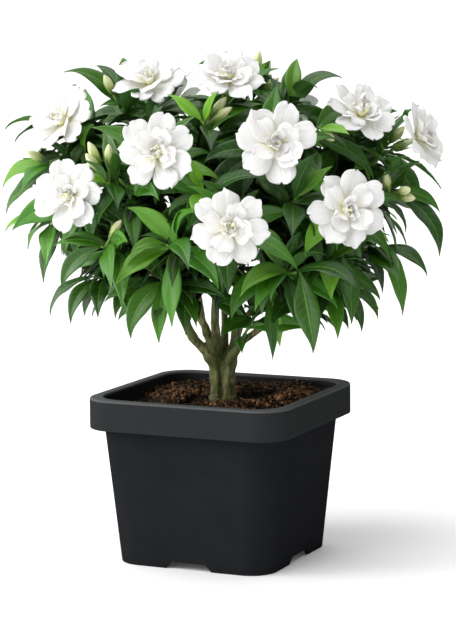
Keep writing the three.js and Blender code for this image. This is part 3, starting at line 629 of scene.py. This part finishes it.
def make_heart(number, bloom, rng):
    centre, axis, across, upward, _ = bloom
    heart = Skin()
    for k in range(STAMENS):
        turn = FULL_TURN * k / STAMENS + rng.uniform(-0.3, 0.3)
        out = turned(axis, turned(across, upward, turn), rng.uniform(0.05, 0.45))
        line = centre + axis * 2 + np.outer(STAMEN_AT * rng.uniform(10, 16), out)
        add_tube(heart, line, STAMEN_RADII, along=STAMEN_TONES)
    line = centre + np.outer(STYLE_AT, axis + across * rng.uniform(-0.15, 0.15))
    add_tube(heart, line, STYLE_RADII, along=STYLE_TONES)
    add_tube(heart, centre + np.outer(DOME_AT, axis), DOME_RADII, 12, along=0.6)
    heart.build(f"heart_{number:02d}", HEART, "petal")


def add_sepals(skin, foot, axis, spin, heights, reaches, radii, tone):
    across, upward = square_to(axis)
    for k in range(SEPALS):
        out = turned(across, upward, spin + FULL_TURN * k / SEPALS)
        add_tube(skin, foot + np.outer(heights, axis) + np.outer(reaches, out), radii, 5, along=tone)


def make_calyx(number, foot, axis, roll):
    cup = Skin()
    add_tube(cup, foot + np.outer(CALYX_AT, axis), CALYX_RADII, 12, along=CALYX_AT / CALYX_AT[-1])
    reaches = 3.7 - 0.4 * SEPAL_AT + 2.6 * SEPAL_AT**2
    add_sepals(cup, foot, axis, roll, 5 + 11 * SEPAL_AT, reaches, SEPAL_RADII, 0.12)
    cup.build(f"calyx_{number:02d}", CALYX, "leaf")


def grow_bloom(number):
    name = f"bloom_{number:02d}"
    shoot_points, shoot_faces, _ = skin_of(f"bloom_shoot_{number:02d}")
    base, axis = stem_of(shoot_points, shoot_faces)
    foot = base + axis * STEM_LENGTH
    centre = foot + axis * TUBE_LENGTH
    points, _, near = skin_of(name)
    across, upward = square_to(axis)
    rng = np.random.default_rng(seed_of(name))
    ends = [t[0] - centre for t in blade_tips(points, near, PETAL_THICK)]
    tips = [(math.atan2(p @ upward, p @ across), math.hypot(p @ upward, p @ across), p @ axis) for p in ends]
    outer = [t for t in tips if t[1] > OUTER_FROM]
    middle = [t for t in tips if MIDDLE_FROM < t[1] <= OUTER_FROM]
    size = np.mean([math.hypot(t[1], t[2]) for t in outer]) / math.hypot(*outer_reach())
    roll = best_roll(outer, middle)
    bloom = (centre, axis, across, upward, size)
    skin = Skin()
    add_outer_petals(skin, bloom, roll, outer, rng)
    add_whorl(skin, bloom, MIDDLE, roll, rng)
    add_whorl(skin, bloom, INNER, roll, rng)
    add_whorl(skin, bloom, CORE, roll, rng, CORE_GRID)
    skin.build(f"petals_{number:02d}", PETAL, "petal", name)
    make_heart(number, bloom, rng)
    make_calyx(number, foot, axis, roll)


# Buds. The shape gives the radius at shares of the length.
BUD_SHAPE = (
    (0, 0.48), (0.12, 0.62), (0.25, 0.74), (0.4, 0.92), (0.52, 1.0), (0.66, 0.92), (0.8, 0.68),
    (0.9, 0.42), (0.96, 0.22), (1.0, 0.05),
)
BUD_RADIUS = 4.1
BUD_LENGTH = 24
BUD_RINGS = 20
BUD_SIDES = 20
BUD_PETALS = 5
STALK_RADII = (1.1, 1.1, 1.54)
BUD_SEPAL_RADII = (0.8, 0.85, 0.75, 0.6, 0.35, 0.1)


def buds_of(points, near):
    """Root and tip of each bud, from its tip and the five points round it."""
    found = []
    for v, ring in near.items():
        if len(ring) != 5:
            continue
        q = points[sorted(ring)]
        middle = q.mean(0)
        radii = np.linalg.norm(q - middle, axis=1)
        if abs(radii - BUD_RING[1]).max() > THICK_SLACK:
            continue
        axis = points[v] - middle
        length = np.linalg.norm(axis) / (1 - BUD_RING[0])
        found.append((points[v] - unit(axis) * length, points[v]))
    return found


def add_bud(skin, root, end, rng):
    """A stalk, a bulb with twisted lobes, and sepals."""
    axis = unit(end - root)
    length = np.linalg.norm(end - root)
    bulb = min(BUD_LENGTH * rng.uniform(0.85, 1.05), length * 0.75)
    foot = end - axis * bulb
    across, upward = square_to(axis)
    spin = rng.uniform(0, ANY_TURN)
    add_tube(skin, [root, (root + foot) / 2, foot + axis], STALK_RADII, along=0.0)
    shares = np.linspace(0, 1, BUD_RINGS)
    rings = []
    for share in shares:
        radius = BUD_RADIUS * np.interp(share, *zip(*BUD_SHAPE))
        for k in range(BUD_SIDES):
            angle = FULL_TURN * k / BUD_SIDES
            lobes = 1 + 0.08 * math.cos(BUD_PETALS * (angle + spin) + 7 * share) * (0.2 < share < 0.99)
            rings.append(foot + axis * bulb * share + radius * lobes * turned(across, upward, angle))
    skin.add(rings, ring_faces(BUD_RINGS, BUD_SIDES), along=np.repeat(shares, BUD_SIDES))
    heights = bulb * (0.05 + 0.42 * SEPAL_AT)
    reaches = BUD_RADIUS * (0.45 + 0.4 * SEPAL_AT + 0.3 * SEPAL_AT**2)
    add_sepals(skin, foot, axis, spin, heights, reaches, BUD_SEPAL_RADII, 0.05)


# The pot
RIM_BOTTOM = POT_HEIGHT - RIM_HEIGHT
CORNER_STEPS = 20
SIDE_STEPS = 12
RIM_ROUND = 1.8
MOUTH_ROUND = 1.4
HOLE_SIDES = 24
HOLE_MARGIN = 3
SHARP_ANGLE = math.radians(35)


def polar(radius, angle):
    return radius * np.array([math.cos(angle), math.sin(angle)])


def rounded_square(side, radius, z):
    """A square outline with round corners, with points along its straight sides too."""
    inset = math.sqrt(2) * (side / 2 - radius)
    eighth, quarter = math.pi / 4, math.pi / 2
    points = []
    for corner in range(4):
        first, last = corner * quarter, (corner + 1) * quarter
        centre, beyond = polar(inset, first + eighth), polar(inset, last + eighth)
        for step in range(CORNER_STEPS + 1):
            points.append((*(centre + polar(radius, first + step / CORNER_STEPS * quarter)), z))
        start, end = centre + polar(radius, last), beyond + polar(radius, last)
        for step in range(1, SIDE_STEPS):
            points.append((*(start + (end - start) * step / SIDE_STEPS), z))
    return np.array(points)


def inner_side(z):
    base = BASE_SIDE - 2 * WALL
    return base + (MOUTH_SIDE - base) * z / POT_HEIGHT


def inner_corner(z):
    return BASE_CORNER - WALL + (RIM_CORNER - BASE_CORNER) * z / POT_HEIGHT


def wall_ring(z, out):
    """The outline of the wall, so far out from its inner side."""
    return rounded_square(inner_side(z) + 2 * out, inner_corner(z) + out, z)


def rim_ring(z, inset):
    """The outline of the rim, so far in from its outer side."""
    return rounded_square(POT_SIDE - 2 * inset, RIM_CORNER - inset, z)


def pot_rings():
    """The pot's rings: from the underside round the foot, up the wall, over the rim and down inside."""
    ledge = POT_HEIGHT - WALL
    foot = (
        (FLOOR_UNDERSIDE, -FOOT_LIP), (0.4, -FOOT_LIP), (0, 0.4 - FOOT_LIP),
        (0, WALL - 0.8), (0.25, WALL - 0.25), (0.8, WALL),
    )
    hem = (
        (ledge, WALL), (RIM_BOTTOM + 0.5, WALL), (RIM_BOTTOM, WALL - 0.4),
        (RIM_BOTTOM, 0.9), (RIM_BOTTOM + 0.3, 0.3), (RIM_BOTTOM + 1.0, 0),
    )
    rings = [wall_ring(z, out) for z, out in foot]
    rings += [wall_ring(z, WALL) for z in np.linspace(NOTCH_HEIGHT, ledge, 26)]
    rings += [rim_ring(z, inset) for z, inset in hem]
    rings += [rim_ring(z, 0) for z in np.linspace(RIM_BOTTOM + 3, POT_HEIGHT - 3, 6)]
    for a in np.linspace(0, math.pi / 2, 7):
        rings.append(rim_ring(POT_HEIGHT - RIM_ROUND * (1 - math.sin(a)), RIM_ROUND * (1 - math.cos(a))))
    rings.append(wall_ring(POT_HEIGHT, MOUTH_ROUND + 0.2))
    for a in np.linspace(0, math.pi / 2, 5):
        down, out = 1 - math.cos(a), 1 - math.sin(a)
        rings.append(wall_ring(POT_HEIGHT - MOUTH_ROUND * down, MOUTH_ROUND * out))
    rings += [wall_ring(z, 0) for z in np.linspace(POT_HEIGHT - 4, FLOOR_UNDERSIDE + WALL, 8)]
    return rings


def notch_bar(turn):
    """A bar with the outline of a notch, all through the foot."""
    half = NOTCH_WIDTH / 2
    top = half - NOTCH_SLANT
    outline = [(-half, -1), (half, -1), (half, 0), (top, NOTCH_HEIGHT), (-top, NOTCH_HEIGHT), (-half, 0)]
    x, y, z = np.array([(x, y, z) for y in (POT_SIDE, -POT_SIDE) for x, z in outline]).T
    c, s = math.cos(turn), math.sin(turn)
    return np.stack([x * c - y * s, x * s + y * c, z], 1)


def drain_bar(x, y):
    rim = [(x, y) + polar(DRAIN_RADIUS, FULL_TURN * k / HOLE_SIDES) for k in range(HOLE_SIDES)]
    low, high = FLOOR_UNDERSIDE - HOLE_MARGIN, FLOOR_UNDERSIDE + WALL + HOLE_MARGIN
    return np.array([(*p, z) for z in (low, high) for p in rim])


def make_pot():
    rings = pot_rings()
    skin = Skin()
    skin.add(np.vstack(rings), ring_faces(len(rings), len(rings[0])))
    pot = skin.build("pot_shell", POT_PLASTIC, "pot_plastic", "pot")
    for turn in (0, math.pi / 2):
        cut(pot, notch_bar(turn))
    for x in (-DRAIN_OFFSET, DRAIN_OFFSET):
        for y in (-DRAIN_OFFSET, DRAIN_OFFSET):
            cut(pot, drain_bar(x, y))
    pot.data.shade_smooth()
    pot.data.set_sharp_from_angle(angle=SHARP_ANGLE)


def cut(piece, points):
    mesh = bpy.data.meshes.new("cutter")
    mesh.from_pydata((points * MM).tolist(), [], ring_faces(2, len(points) // 2))
    cutter = placed("cutter", mesh)
    boolean = piece.modifiers.new("cut", "BOOLEAN")
    boolean.operation = "DIFFERENCE"
    boolean.solver = "EXACT"
    boolean.object = cutter
    apply_modifiers(piece)
    bpy.data.objects.remove(cutter)


def apply_modifiers(piece):
    bpy.context.view_layer.update()
    evaluated = piece.evaluated_get(bpy.context.evaluated_depsgraph_get())
    mesh = bpy.data.meshes.new_from_object(evaluated)
    piece.modifiers.clear()
    piece.data = mesh


# The soil. A mound or hollow has its place right and away, its radius and its height.
MOUNDS = (
    (66, -24, 26, 7), (-44, 12, 22, 5), (36, 2, 18, -8), (-30, -14, 10, -8), (-74, 4, 20, -5),
    (-8, -46, 20, 3), (34, -44, 18, 3),
)
SOIL_LEVEL = 141
SOIL_GAP = 0.4
SOIL_SEED = 11
SOIL_RINGS = (1, 0.985, 0.965, *np.linspace(0.94, 0.16, 40))
CRUMBS = 2600
CRUMB_RADII = (0.8, 1.2, 1.7, 2.4, 3.6)
CRUMB_CHANCES = (0.3, 0.32, 0.22, 0.12, 0.04)
CRUMB_RINGS = 4
CRUMB_SIDES = 6
FIBRES = 420
FIBRE_STEPS = 6


def waves(points, scale, octaves, seed):
    """Fractal noise at each point."""
    offset = Vector((seed * 17.3, seed * 5.1, seed * 9.7))
    return np.array([noise.fractal(Vector(p) / scale + offset, 0.9, 2.0, octaves) for p in points])


def broad_waves(points):
    return waves(points, 30, 2, 5) * 3.5 - 1.2


def swells(x, y):
    """How far the mounds and hollows raise the soil at a place."""
    across, back = in_photo(x, y)
    return sum(height * np.exp(-((across - right) ** 2 + (back - away) ** 2) / radius**2)
               for right, away, radius, height in MOUNDS)


def soil_level(x, y):
    """How high the soil's top lies at a place, without its waves and crumbs."""
    dome = 5 * np.maximum(0, 1 - (x * x + y * y) / (MOUTH_SIDE / 2) ** 2)
    return SOIL_LEVEL + 0.02 * x + 0.07 * y + dome + swells(x, y)


def swelling(x, y):
    """0 in a hollow to 1 on a mound, which sets the painted shade: darker soil in the hollows."""
    return np.clip(0.4 + swells(x, y) / 9, 0, 1)


def soil_outline(z):
    return rounded_square(inner_side(z) - 2 * SOIL_GAP, inner_corner(z) - SOIL_GAP, z)


def scattered(count, reach, from_trunk, to_corner, rng):
    """Places on the soil, clear of the trunk and of the corners."""
    for _ in range(count):
        x, y = rng.uniform(-reach, reach, 2)
        if math.hypot(x, y) >= from_trunk and abs(x) + abs(y) <= to_corner:
            yield x, y


def make_soil():
    low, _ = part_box("soil")
    skin = Skin()
    rng = np.random.default_rng(SOIL_SEED)
    edge = soil_outline(SOIL_LEVEL)
    rings = [soil_outline(low[2] / MM)]
    for share in SOIL_RINGS:
        ring = edge * (share, share, 1)
        rough = waves(ring, 7, 3, 3) * 3.6 + broad_waves(ring)
        ring[:, 2] = soil_level(ring[:, 0], ring[:, 1]) + rough * min(1, (1 - share) * 14 + 0.25)
        rings.append(ring)
    bed = np.vstack(rings)
    skin.add(bed, ring_faces(len(rings), len(edge)), crumb=0.0, open=swelling(bed[:, 0], bed[:, 1]))
    for x, y in scattered(CRUMBS, 86, 15, 138, rng):
        z = soil_level(x, y) + float(broad_waves([(x, y, SOIL_LEVEL)])[0])
        radius = rng.choice(CRUMB_RADII, p=CRUMB_CHANCES)
        add_crumb(skin, np.array([x, y, z + rng.uniform(-0.6, 2.4)]), radius, rng, float(swelling(x, y)))
    for x, y in scattered(FIBRES, 80, 16, 130, rng):
        add_fibre(skin, np.array([x, y, soil_level(x, y) + rng.uniform(0.5, 2.5)]), rng)
    skin.build("soil_bed", SOIL, "soil", "soil")


def add_crumb(skin, centre, radius, rng, lit):
    """A rough lump: a small ball of noise."""
    stretch = rng.uniform(0.45, 1.35, 3) * radius
    spin = rng.uniform(0, ANY_TURN)
    c, s = math.cos(spin), math.sin(spin)
    points = []
    for r in range(CRUMB_RINGS):
        down = math.pi * (r + 0.5) / CRUMB_RINGS
        for k in range(CRUMB_SIDES):
            way = (*polar(math.sin(down), FULL_TURN * k / CRUMB_SIDES + r), -math.cos(down))
            x, y, z = way * stretch * rng.uniform(0.6, 1.2)
            points.append(centre + (x * c - y * s, x * s + y * c, z))
    skin.add(points, ring_faces(CRUMB_RINGS, CRUMB_SIDES), crumb=rng.uniform(0.15, 1.0), open=lit)


def add_fibre(skin, start, rng):
    heading = rng.uniform(0, ANY_TURN)
    length = rng.uniform(4, 15)
    line = [start]
    for _ in range(FIBRE_STEPS):
        heading += rng.uniform(-0.6, 0.6)
        step = np.array([math.cos(heading), math.sin(heading), rng.uniform(-0.35, 0.3)])
        line.append(line[-1] + step * length / FIBRE_STEPS)
    radii = np.linspace(0.32, 0.15, FIBRE_STEPS + 1) * rng.uniform(0.6, 1.3)
    lit = float(swelling(start[0], start[1]))
    add_tube(skin, line, radii, 4, crumb=rng.uniform(0.8, 1.2), open=lit)


# The wood. A knot has its place right, away and up, its radius and its height.
KNOTS = (
    (-10, -5, 184, 5, 2.0), (7, -8, 188, 5, 2.2), (-3, -7, 168, 4, 1.2), (10, -6, 160, 5, 1.4),
    (-9, -3, 152, 4, 1.0), (3, -9, 178, 3.5, 1.5), (12, 2, 176, 5, 1.4), (-7, 5, 180, 5, 1.6),
    (4, 9, 166, 5, 1.5), (-26, -8, 203, 5, 1.4), (9, -3, 147, 6, 1.2), (-6, -3, 144, 5, 1.0),
)
VOXEL = 1.0
TRUNK_TOP = 230
TRUNK_FADE = 60
GRAIN_STRETCH = (1, 1, 0.3)
GROOVE_AT = -0.8
GROOVE_WIDTH = 1.5
GROOVE_DEPTH = 1.5
GROOVE_TOP = 188
GROOVE_FADE = 12
TWIG_SWELL = 0.18


def bark_relief(points, trunk):
    """How far bark, knots and the groove between the two stems raise or sink the wood."""
    relief = np.zeros(len(points))
    grain = waves(points[trunk] * GRAIN_STRETCH, 3.2, 3, 2)
    relief[trunk] = grain * 0.35 + waves(points[trunk], 12, 2, 4) * 1.1
    right, away = in_photo(points[:, 0], points[:, 1])
    high = points[:, 2]
    groove = np.exp(-(((right - GROOVE_AT) / GROOVE_WIDTH) ** 2)) * (abs(away) > 3)
    relief -= GROOVE_DEPTH * groove * np.clip((GROOVE_TOP - high) / GROOVE_FADE, 0, 1)
    for x, y, z, radius, height in KNOTS:
        gap = ((right - x) ** 2 + (away - y) ** 2 + (high - z) ** 2) / radius**2
        relief += height * np.exp(-gap)
    return relief


def make_wood():
    piece = placed("trunk_and_twigs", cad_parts["wood"].data.copy())
    remesh = piece.modifiers.new("remesh", "REMESH")
    remesh.mode = "VOXEL"
    remesh.voxel_size = VOXEL * MM
    relax = piece.modifiers.new("relax", "SMOOTH")
    relax.factor = 0.5
    relax.iterations = 3
    apply_modifiers(piece)
    mesh = piece.data
    points = vertex_rows(mesh, "co") / MM
    normals = vertex_rows(mesh, "normal")
    thick = np.clip((TRUNK_TOP - points[:, 2]) / TRUNK_FADE, 0, 1)
    relief = bark_relief(points, thick > 0)
    points = points + normals * ((relief - 0.1) * thick + TWIG_SWELL * (1 - thick))[:, None]
    mesh.vertices.foreach_set("co", (points * MM).ravel())
    layer = mesh.attributes.new("height", "FLOAT", "POINT")
    layer.data.foreach_set("value", points[:, 2].astype(np.float32))
    mesh.materials.clear()
    mesh.materials.append(BARK)
    mesh.update()
    mesh.shade_smooth()
    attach(piece, "root")
    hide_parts("wood")


# Materials
class Paint:
    """The node tree of a material, or of the world, with short names for what it is built from."""

    def __init__(self, name, owner=None):
        self.owner = owner or bpy.data.materials.new(name)
        self.owner.use_nodes = True
        self.tree = self.owner.node_tree

    def node(self, kind, **settings):
        node = self.tree.nodes.new("ShaderNode" + kind)
        for key, value in settings.items():
            setattr(node, key, value)
        return node

    def link(self, a, b):
        self.tree.links.new(a, b)

    def put(self, socket, value):
        if isinstance(value, bpy.types.NodeSocket):
            self.link(value, socket)
        else:
            socket.default_value = value

    def fill(self, node, values):
        for key, value in values.items():
            self.put(node.inputs[key], value)

    def attribute(self, name):
        return self.node("Attribute", attribute_name=name).outputs["Fac"]

    def place(self):
        return self.node("TexCoord").outputs["Object"]

    def noise(self, scale, detail=3, rough=0.6, place=None, stretch=None):
        place = place or self.place()
        if stretch:
            mapping = self.node("Mapping")
            self.fill(mapping, {"Scale": stretch, "Vector": place})
            place = mapping.outputs["Vector"]
        node = self.node("TexNoise")
        self.fill(node, {"Scale": scale, "Detail": detail, "Roughness": rough, "Vector": place})
        return node.outputs["Fac"]

    def math(self, operation, a, b=0.0):
        node = self.node("Math", operation=operation)
        self.fill(node, {0: a, 1: b})
        return node.outputs[0]

    def times(self, a, b):
        return self.math("MULTIPLY", a, b)

    def ramp(self, value, low, high, start=0.0, end=1.0):
        node = self.node("MapRange", interpolation_type="SMOOTHSTEP")
        limits = {"From Min": low, "From Max": high, "To Min": start, "To Max": end}
        self.fill(node, {"Value": value, **limits})
        return node.outputs["Result"]

    def mix(self, share, a, b):
        node = self.node("Mix", data_type="RGBA")
        a, b = (colour(value) if isinstance(value, tuple) else value for value in (a, b))
        self.fill(node, {0: share, 6: a, 7: b})
        return node.outputs[2]

    def bump(self, height, distance, strength=1.0, below=None):
        node = self.node("Bump")
        self.fill(node, {"Strength": strength, "Distance": distance, "Height": height})
        if below is not None:
            self.link(below, node.inputs["Normal"])
        return node.outputs["Normal"]

    def finish(self, color, roughness, normal=None, **constants):
        shader = self.tree.nodes["Principled BSDF"]
        self.fill(shader, {"Base Color": color, "Roughness": roughness})
        if normal is not None:
            self.link(normal, shader.inputs["Normal"])
        self.fill(shader, {key.replace("_", " "): value for key, value in constants.items()})
        return self.owner


def colour(rgb):
    """A colour given as it shows on a screen, 0 to 255, as the shader takes it."""
    return (*[((c / 255 + 0.055) / 1.055) ** 2.4 if c > 10 else c / 255 / 12.92 for c in rgb], 1)


def leaf_material():
    p = Paint("gardenia_leaf")
    along, across = p.attribute("along"), p.attribute("across")
    under, young, tint, stem, deep = (p.attribute(n) for n in ("under", "young", "tint", "stem", "deep"))
    side = p.math("ABSOLUTE", across)
    rib = p.ramp(side, 0.0, 0.09, 1, 0)
    forward = p.times(along, VEIN_PAIRS * VEIN_SPREAD)
    vein = p.math("FRACT", p.math("SUBTRACT", forward, p.times(side, VEIN_SLANT)))
    vein = p.math("ABSOLUTE", p.math("SUBTRACT", vein, 0.5))
    vein = p.ramp(vein, 0.0, 0.09, 1, 0)
    vein = p.times(vein, p.ramp(side, 0.75, 1.0, 1, 0))
    green = p.mix(p.noise(60), (8, 38, 4), (31, 82, 11))
    green = p.mix(p.math("POWER", p.times(tint, 2.0), 2.2), green, (66, 136, 20))
    # Painted shade: leaves deep in the crown are painted near black.
    green = p.mix(deep, green, (2, 14, 1))
    green = p.mix(young, green, (118, 178, 42))
    green = p.mix(p.times(vein, 0.28), green, (90, 140, 54))
    green = p.mix(p.times(rib, 0.5), green, (126, 174, 76))
    green = p.mix(p.times(under, 0.5), green, (66, 108, 44))
    green = p.mix(p.times(stem, 0.7), green, (92, 122, 48))
    rough = p.ramp(p.noise(220, 2), 0.2, 0.8, 0.28, 0.4)
    rough = p.math("ADD", rough, p.times(p.math("MAXIMUM", under, deep), 0.3))
    height = p.math("ADD", p.times(vein, -0.6), p.times(rib, -1.0))
    height = p.math("ADD", height, p.times(p.noise(900, 2), 0.25))
    normal = p.bump(height, 0.25 * MM, 0.7)
    return p.finish(green, rough, normal, Specular_IOR_Level=0.5)


def petal_material():
    p = Paint("gardenia_petal")
    along, layer = p.attribute("along"), p.attribute("layer")
    base = p.ramp(along, 0.0, 0.65, 1, 0)
    heart = p.times(base, p.ramp(layer, 0, 1, 0.5, 1.0))
    white = p.mix(p.noise(90), (243, 242, 241), (250, 249, 247))
    white = p.mix(heart, white, (248, 246, 190))
    spread = p.node("CombineXYZ")
    sideways, apart = p.times(p.attribute("across"), 5), p.times(p.attribute("tint"), 40)
    p.fill(spread, {0: sideways, 1: p.times(along, 1.4), 2: apart})
    streak = p.noise(1.3, 3, 0.55, spread.outputs[0])
    normal = p.bump(streak, 1.6 * MM, 0.6)
    return p.finish(white, 0.65, normal, Specular_IOR_Level=0.2, Subsurface_Weight=0.4,
                    Subsurface_Scale=2.5 * MM, Subsurface_Radius=(1, 1, 0.9))


def heart_material():
    p = Paint("gardenia_heart")
    tone = p.mix(p.attribute("along"), (240, 240, 176), (250, 248, 208))
    tone = p.mix(p.times(p.noise(700, 2), 0.3), tone, (228, 228, 140))
    return p.finish(tone, 0.6, p.bump(p.noise(1500, 2), 0.15 * MM, 0.6))


def calyx_material():
    p = Paint("gardenia_calyx")
    tone = p.mix(p.ramp(p.attribute("along"), 0.3, 0.75), (92, 130, 48), (226, 230, 196))
    tone = p.mix(p.times(p.noise(250), 0.35), tone, (130, 156, 80))
    return p.finish(tone, 0.45, p.bump(p.noise(800, 2), 0.15 * MM, 0.5))


def bud_material():
    p = Paint("gardenia_bud")
    along = p.attribute("along")
    tone = p.mix(p.ramp(along, 0.1, 0.42), (92, 130, 44), (188, 204, 128))
    tone = p.mix(p.ramp(along, 0.4, 0.95), tone, (232, 231, 190))
    tone = p.mix(p.times(p.noise(200), 0.3), tone, (180, 196, 112))
    return p.finish(tone, 0.45, p.bump(p.noise(700, 2), 0.15 * MM, 0.4))


def bark_material():
    p = Paint("gardenia_bark")
    fibre = p.noise(300, 4, stretch=(1, 1, 0.24))
    patch = p.noise(45)
    tone = p.mix(p.ramp(fibre, 0.3, 0.66), (36, 36, 15), (140, 142, 84))
    tone = p.mix(p.times(p.ramp(patch, 0.4, 0.58), 0.75), tone, (72, 88, 32))
    tone = p.mix(p.ramp(p.attribute("height"), 205, 280), tone, (88, 76, 46))
    speck = p.ramp(p.noise(900, 2), 0.62, 0.72)
    tone = p.mix(p.times(speck, 0.4), tone, (168, 160, 118))
    return p.finish(tone, 0.7, p.bump(fibre, 0.6 * MM, 0.5))


def soil_material():
    p = Paint("potting_soil")
    crumb = p.attribute("crumb")
    tone = p.mix(p.ramp(p.noise(130, 5, 0.7), 0.4, 0.66), (9, 6, 4), (68, 46, 29))
    tone = p.mix(p.times(p.math("POWER", crumb, 3.0), 0.85), tone, (196, 146, 102))
    tone = p.mix(p.ramp(p.noise(420), 0.62, 0.74), tone, (126, 96, 66))
    # Painted shade: the soil, its crumbs and fibres are painted darker in the hollows than on the mounds.
    tone = p.mix(p.ramp(p.attribute("open"), 0.0, 0.85, 0.85, 0.0), tone, (14, 9, 6))
    normal = p.bump(p.noise(700, 5, 0.7), 1.2 * MM)
    return p.finish(tone, 0.95, normal, Specular_IOR_Level=0.2)


def pot_material():
    p = Paint("pot_plastic")
    mottle = p.noise(26, 4)
    fine = p.noise(1400, 2, 0.5)
    split = p.node("SeparateXYZ")
    p.link(p.place(), split.inputs[0])
    height = split.outputs["Z"]
    # Painted light: the rim is painted lighter than the wall below it.
    above = p.ramp(height, (RIM_BOTTOM - 0.5) * MM, (RIM_BOTTOM + 0.5) * MM)
    tone = p.mix(mottle, (27, 28, 30), (36, 37, 39))
    tone = p.mix(above, tone, (44, 45, 46))
    # Painted highlight: a light line along the rim's top edge.
    edge = p.ramp(height, (POT_HEIGHT - 2.4) * MM, (POT_HEIGHT - 0.8) * MM, 0, 0.7)
    tone = p.mix(edge, tone, (106, 108, 109))
    rough = p.ramp(mottle, 0.25, 0.75, 0.44, 0.58)
    normal = p.bump(fine, 0.05 * MM, 0.5, p.bump(mottle, 0.8 * MM, 0.15))
    return p.finish(tone, rough, normal, Specular_IOR_Level=0.0)


LEAF = leaf_material()
PETAL = petal_material()
HEART = heart_material()
CALYX = calyx_material()
BUD = bud_material()
BARK = bark_material()
SOIL = soil_material()
POT_PLASTIC = pot_material()

make_pot()
make_soil()
make_wood()
twigs = skin_of("wood")[0]
for node in sorted(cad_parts):
    if "shoot" in node:
        grow_shoot(node, twigs)
for number in range(1, BLOOMS + 1):
    grow_bloom(number)
fill_crown(twigs)

# The stage. Lengths from here on are in metres, and the camera's picture is measured in pixels.
ELEVATION = math.radians(6.66)
ROLL = math.radians(-0.49)
DISTANCE = 2.2
AIM = Vector((0, 0, 0.26))
FOCAL_PIXELS = 2407.7
LONG_SIDE = 631
SENSOR = 36
AIM_PIXEL = (221.0, 273.6)
IMAGE_CENTRE = (228, 315.5)
FLOOR_REACH = 400
FLOOR_WHITE = (0.96, 0.96, 0.96, 1)
BRIGHT_FROM = (1, -0.2, -0.6)
LIT_POINT = Vector((0, 0, 0.25))
LAMPS = (("left", (-2.0, -1.2, 1.0), 1.2, 26), ("front", (-0.5, -2.6, 1.2), 1.2, 8))
SUN_FROM = (-0.26, -0.42, 0.95)


def add_floor():
    floor = bpy.data.meshes.new("floor")
    corners = [(x * FLOOR_REACH, y * FLOOR_REACH, 0) for x, y in ((-1, -1), (1, -1), (1, 1), (-1, 1))]
    floor.from_pydata(corners, [], [(0, 1, 2, 3)])
    floor_piece = placed("floor", floor)
    white = Paint("floor_white").finish(FLOOR_WHITE, 0.8, Specular_IOR_Level=0.1, Emission_Strength=0.04)
    floor.materials.append(white)


def add_sky():
    """White light all round, stronger from the left."""
    world = bpy.data.worlds.new("world")
    bpy.context.scene.world = world
    p = Paint("world", world)
    toward = p.node("VectorMath", operation="DOT_PRODUCT")
    p.fill(toward, {0: p.node("TexCoord").outputs["Generated"], 1: BRIGHT_FROM})
    strength = p.ramp(toward.outputs["Value"], -0.3, 0.4, 1.1, 0.2)
    p.fill(p.tree.nodes["Background"], {"Color": (1, 1, 1, 1), "Strength": strength})


def add_lamps():
    for name, place, size, power in LAMPS:
        data = bpy.data.lights.new(name, "AREA")
        data.size = size
        data.energy = power
        lamp = placed(name, data)
        lamp.location = place
        lamp.rotation_euler = (LIT_POINT - Vector(place)).to_track_quat("-Z", "Y").to_euler()
    data = bpy.data.lights.new("key", "SUN")
    data.energy = 1.4
    data.angle = 1.0
    placed("key", data).rotation_euler = Vector(SUN_FROM).to_track_quat("Z", "Y").to_euler()


def add_camera():
    level = math.cos(ELEVATION)
    back = Vector((math.sin(PLANT_TURN) * level, -math.cos(PLANT_TURN) * level, math.sin(ELEVATION)))
    data = bpy.data.cameras.new("camera")
    camera = placed("camera", data)
    camera.location = AIM + back * DISTANCE
    camera.rotation_mode = "QUATERNION"
    roll = Matrix.Rotation(ROLL, 3, "Z").to_quaternion()
    camera.rotation_quaternion = (-back).to_track_quat("-Z", "Y") @ roll
    data.sensor_width = SENSOR
    data.lens = FOCAL_PIXELS * SENSOR / LONG_SIDE
    data.shift_x = (IMAGE_CENTRE[0] - AIM_PIXEL[0]) / LONG_SIDE
    data.shift_y = (AIM_PIXEL[1] - IMAGE_CENTRE[1]) / LONG_SIDE
    data.clip_start = 0.05
    data.clip_end = 2000
    bpy.context.scene.camera = camera


add_floor()
add_sky()
add_lamps()
bpy.context.scene.view_settings.view_transform = "Standard"
add_camera()
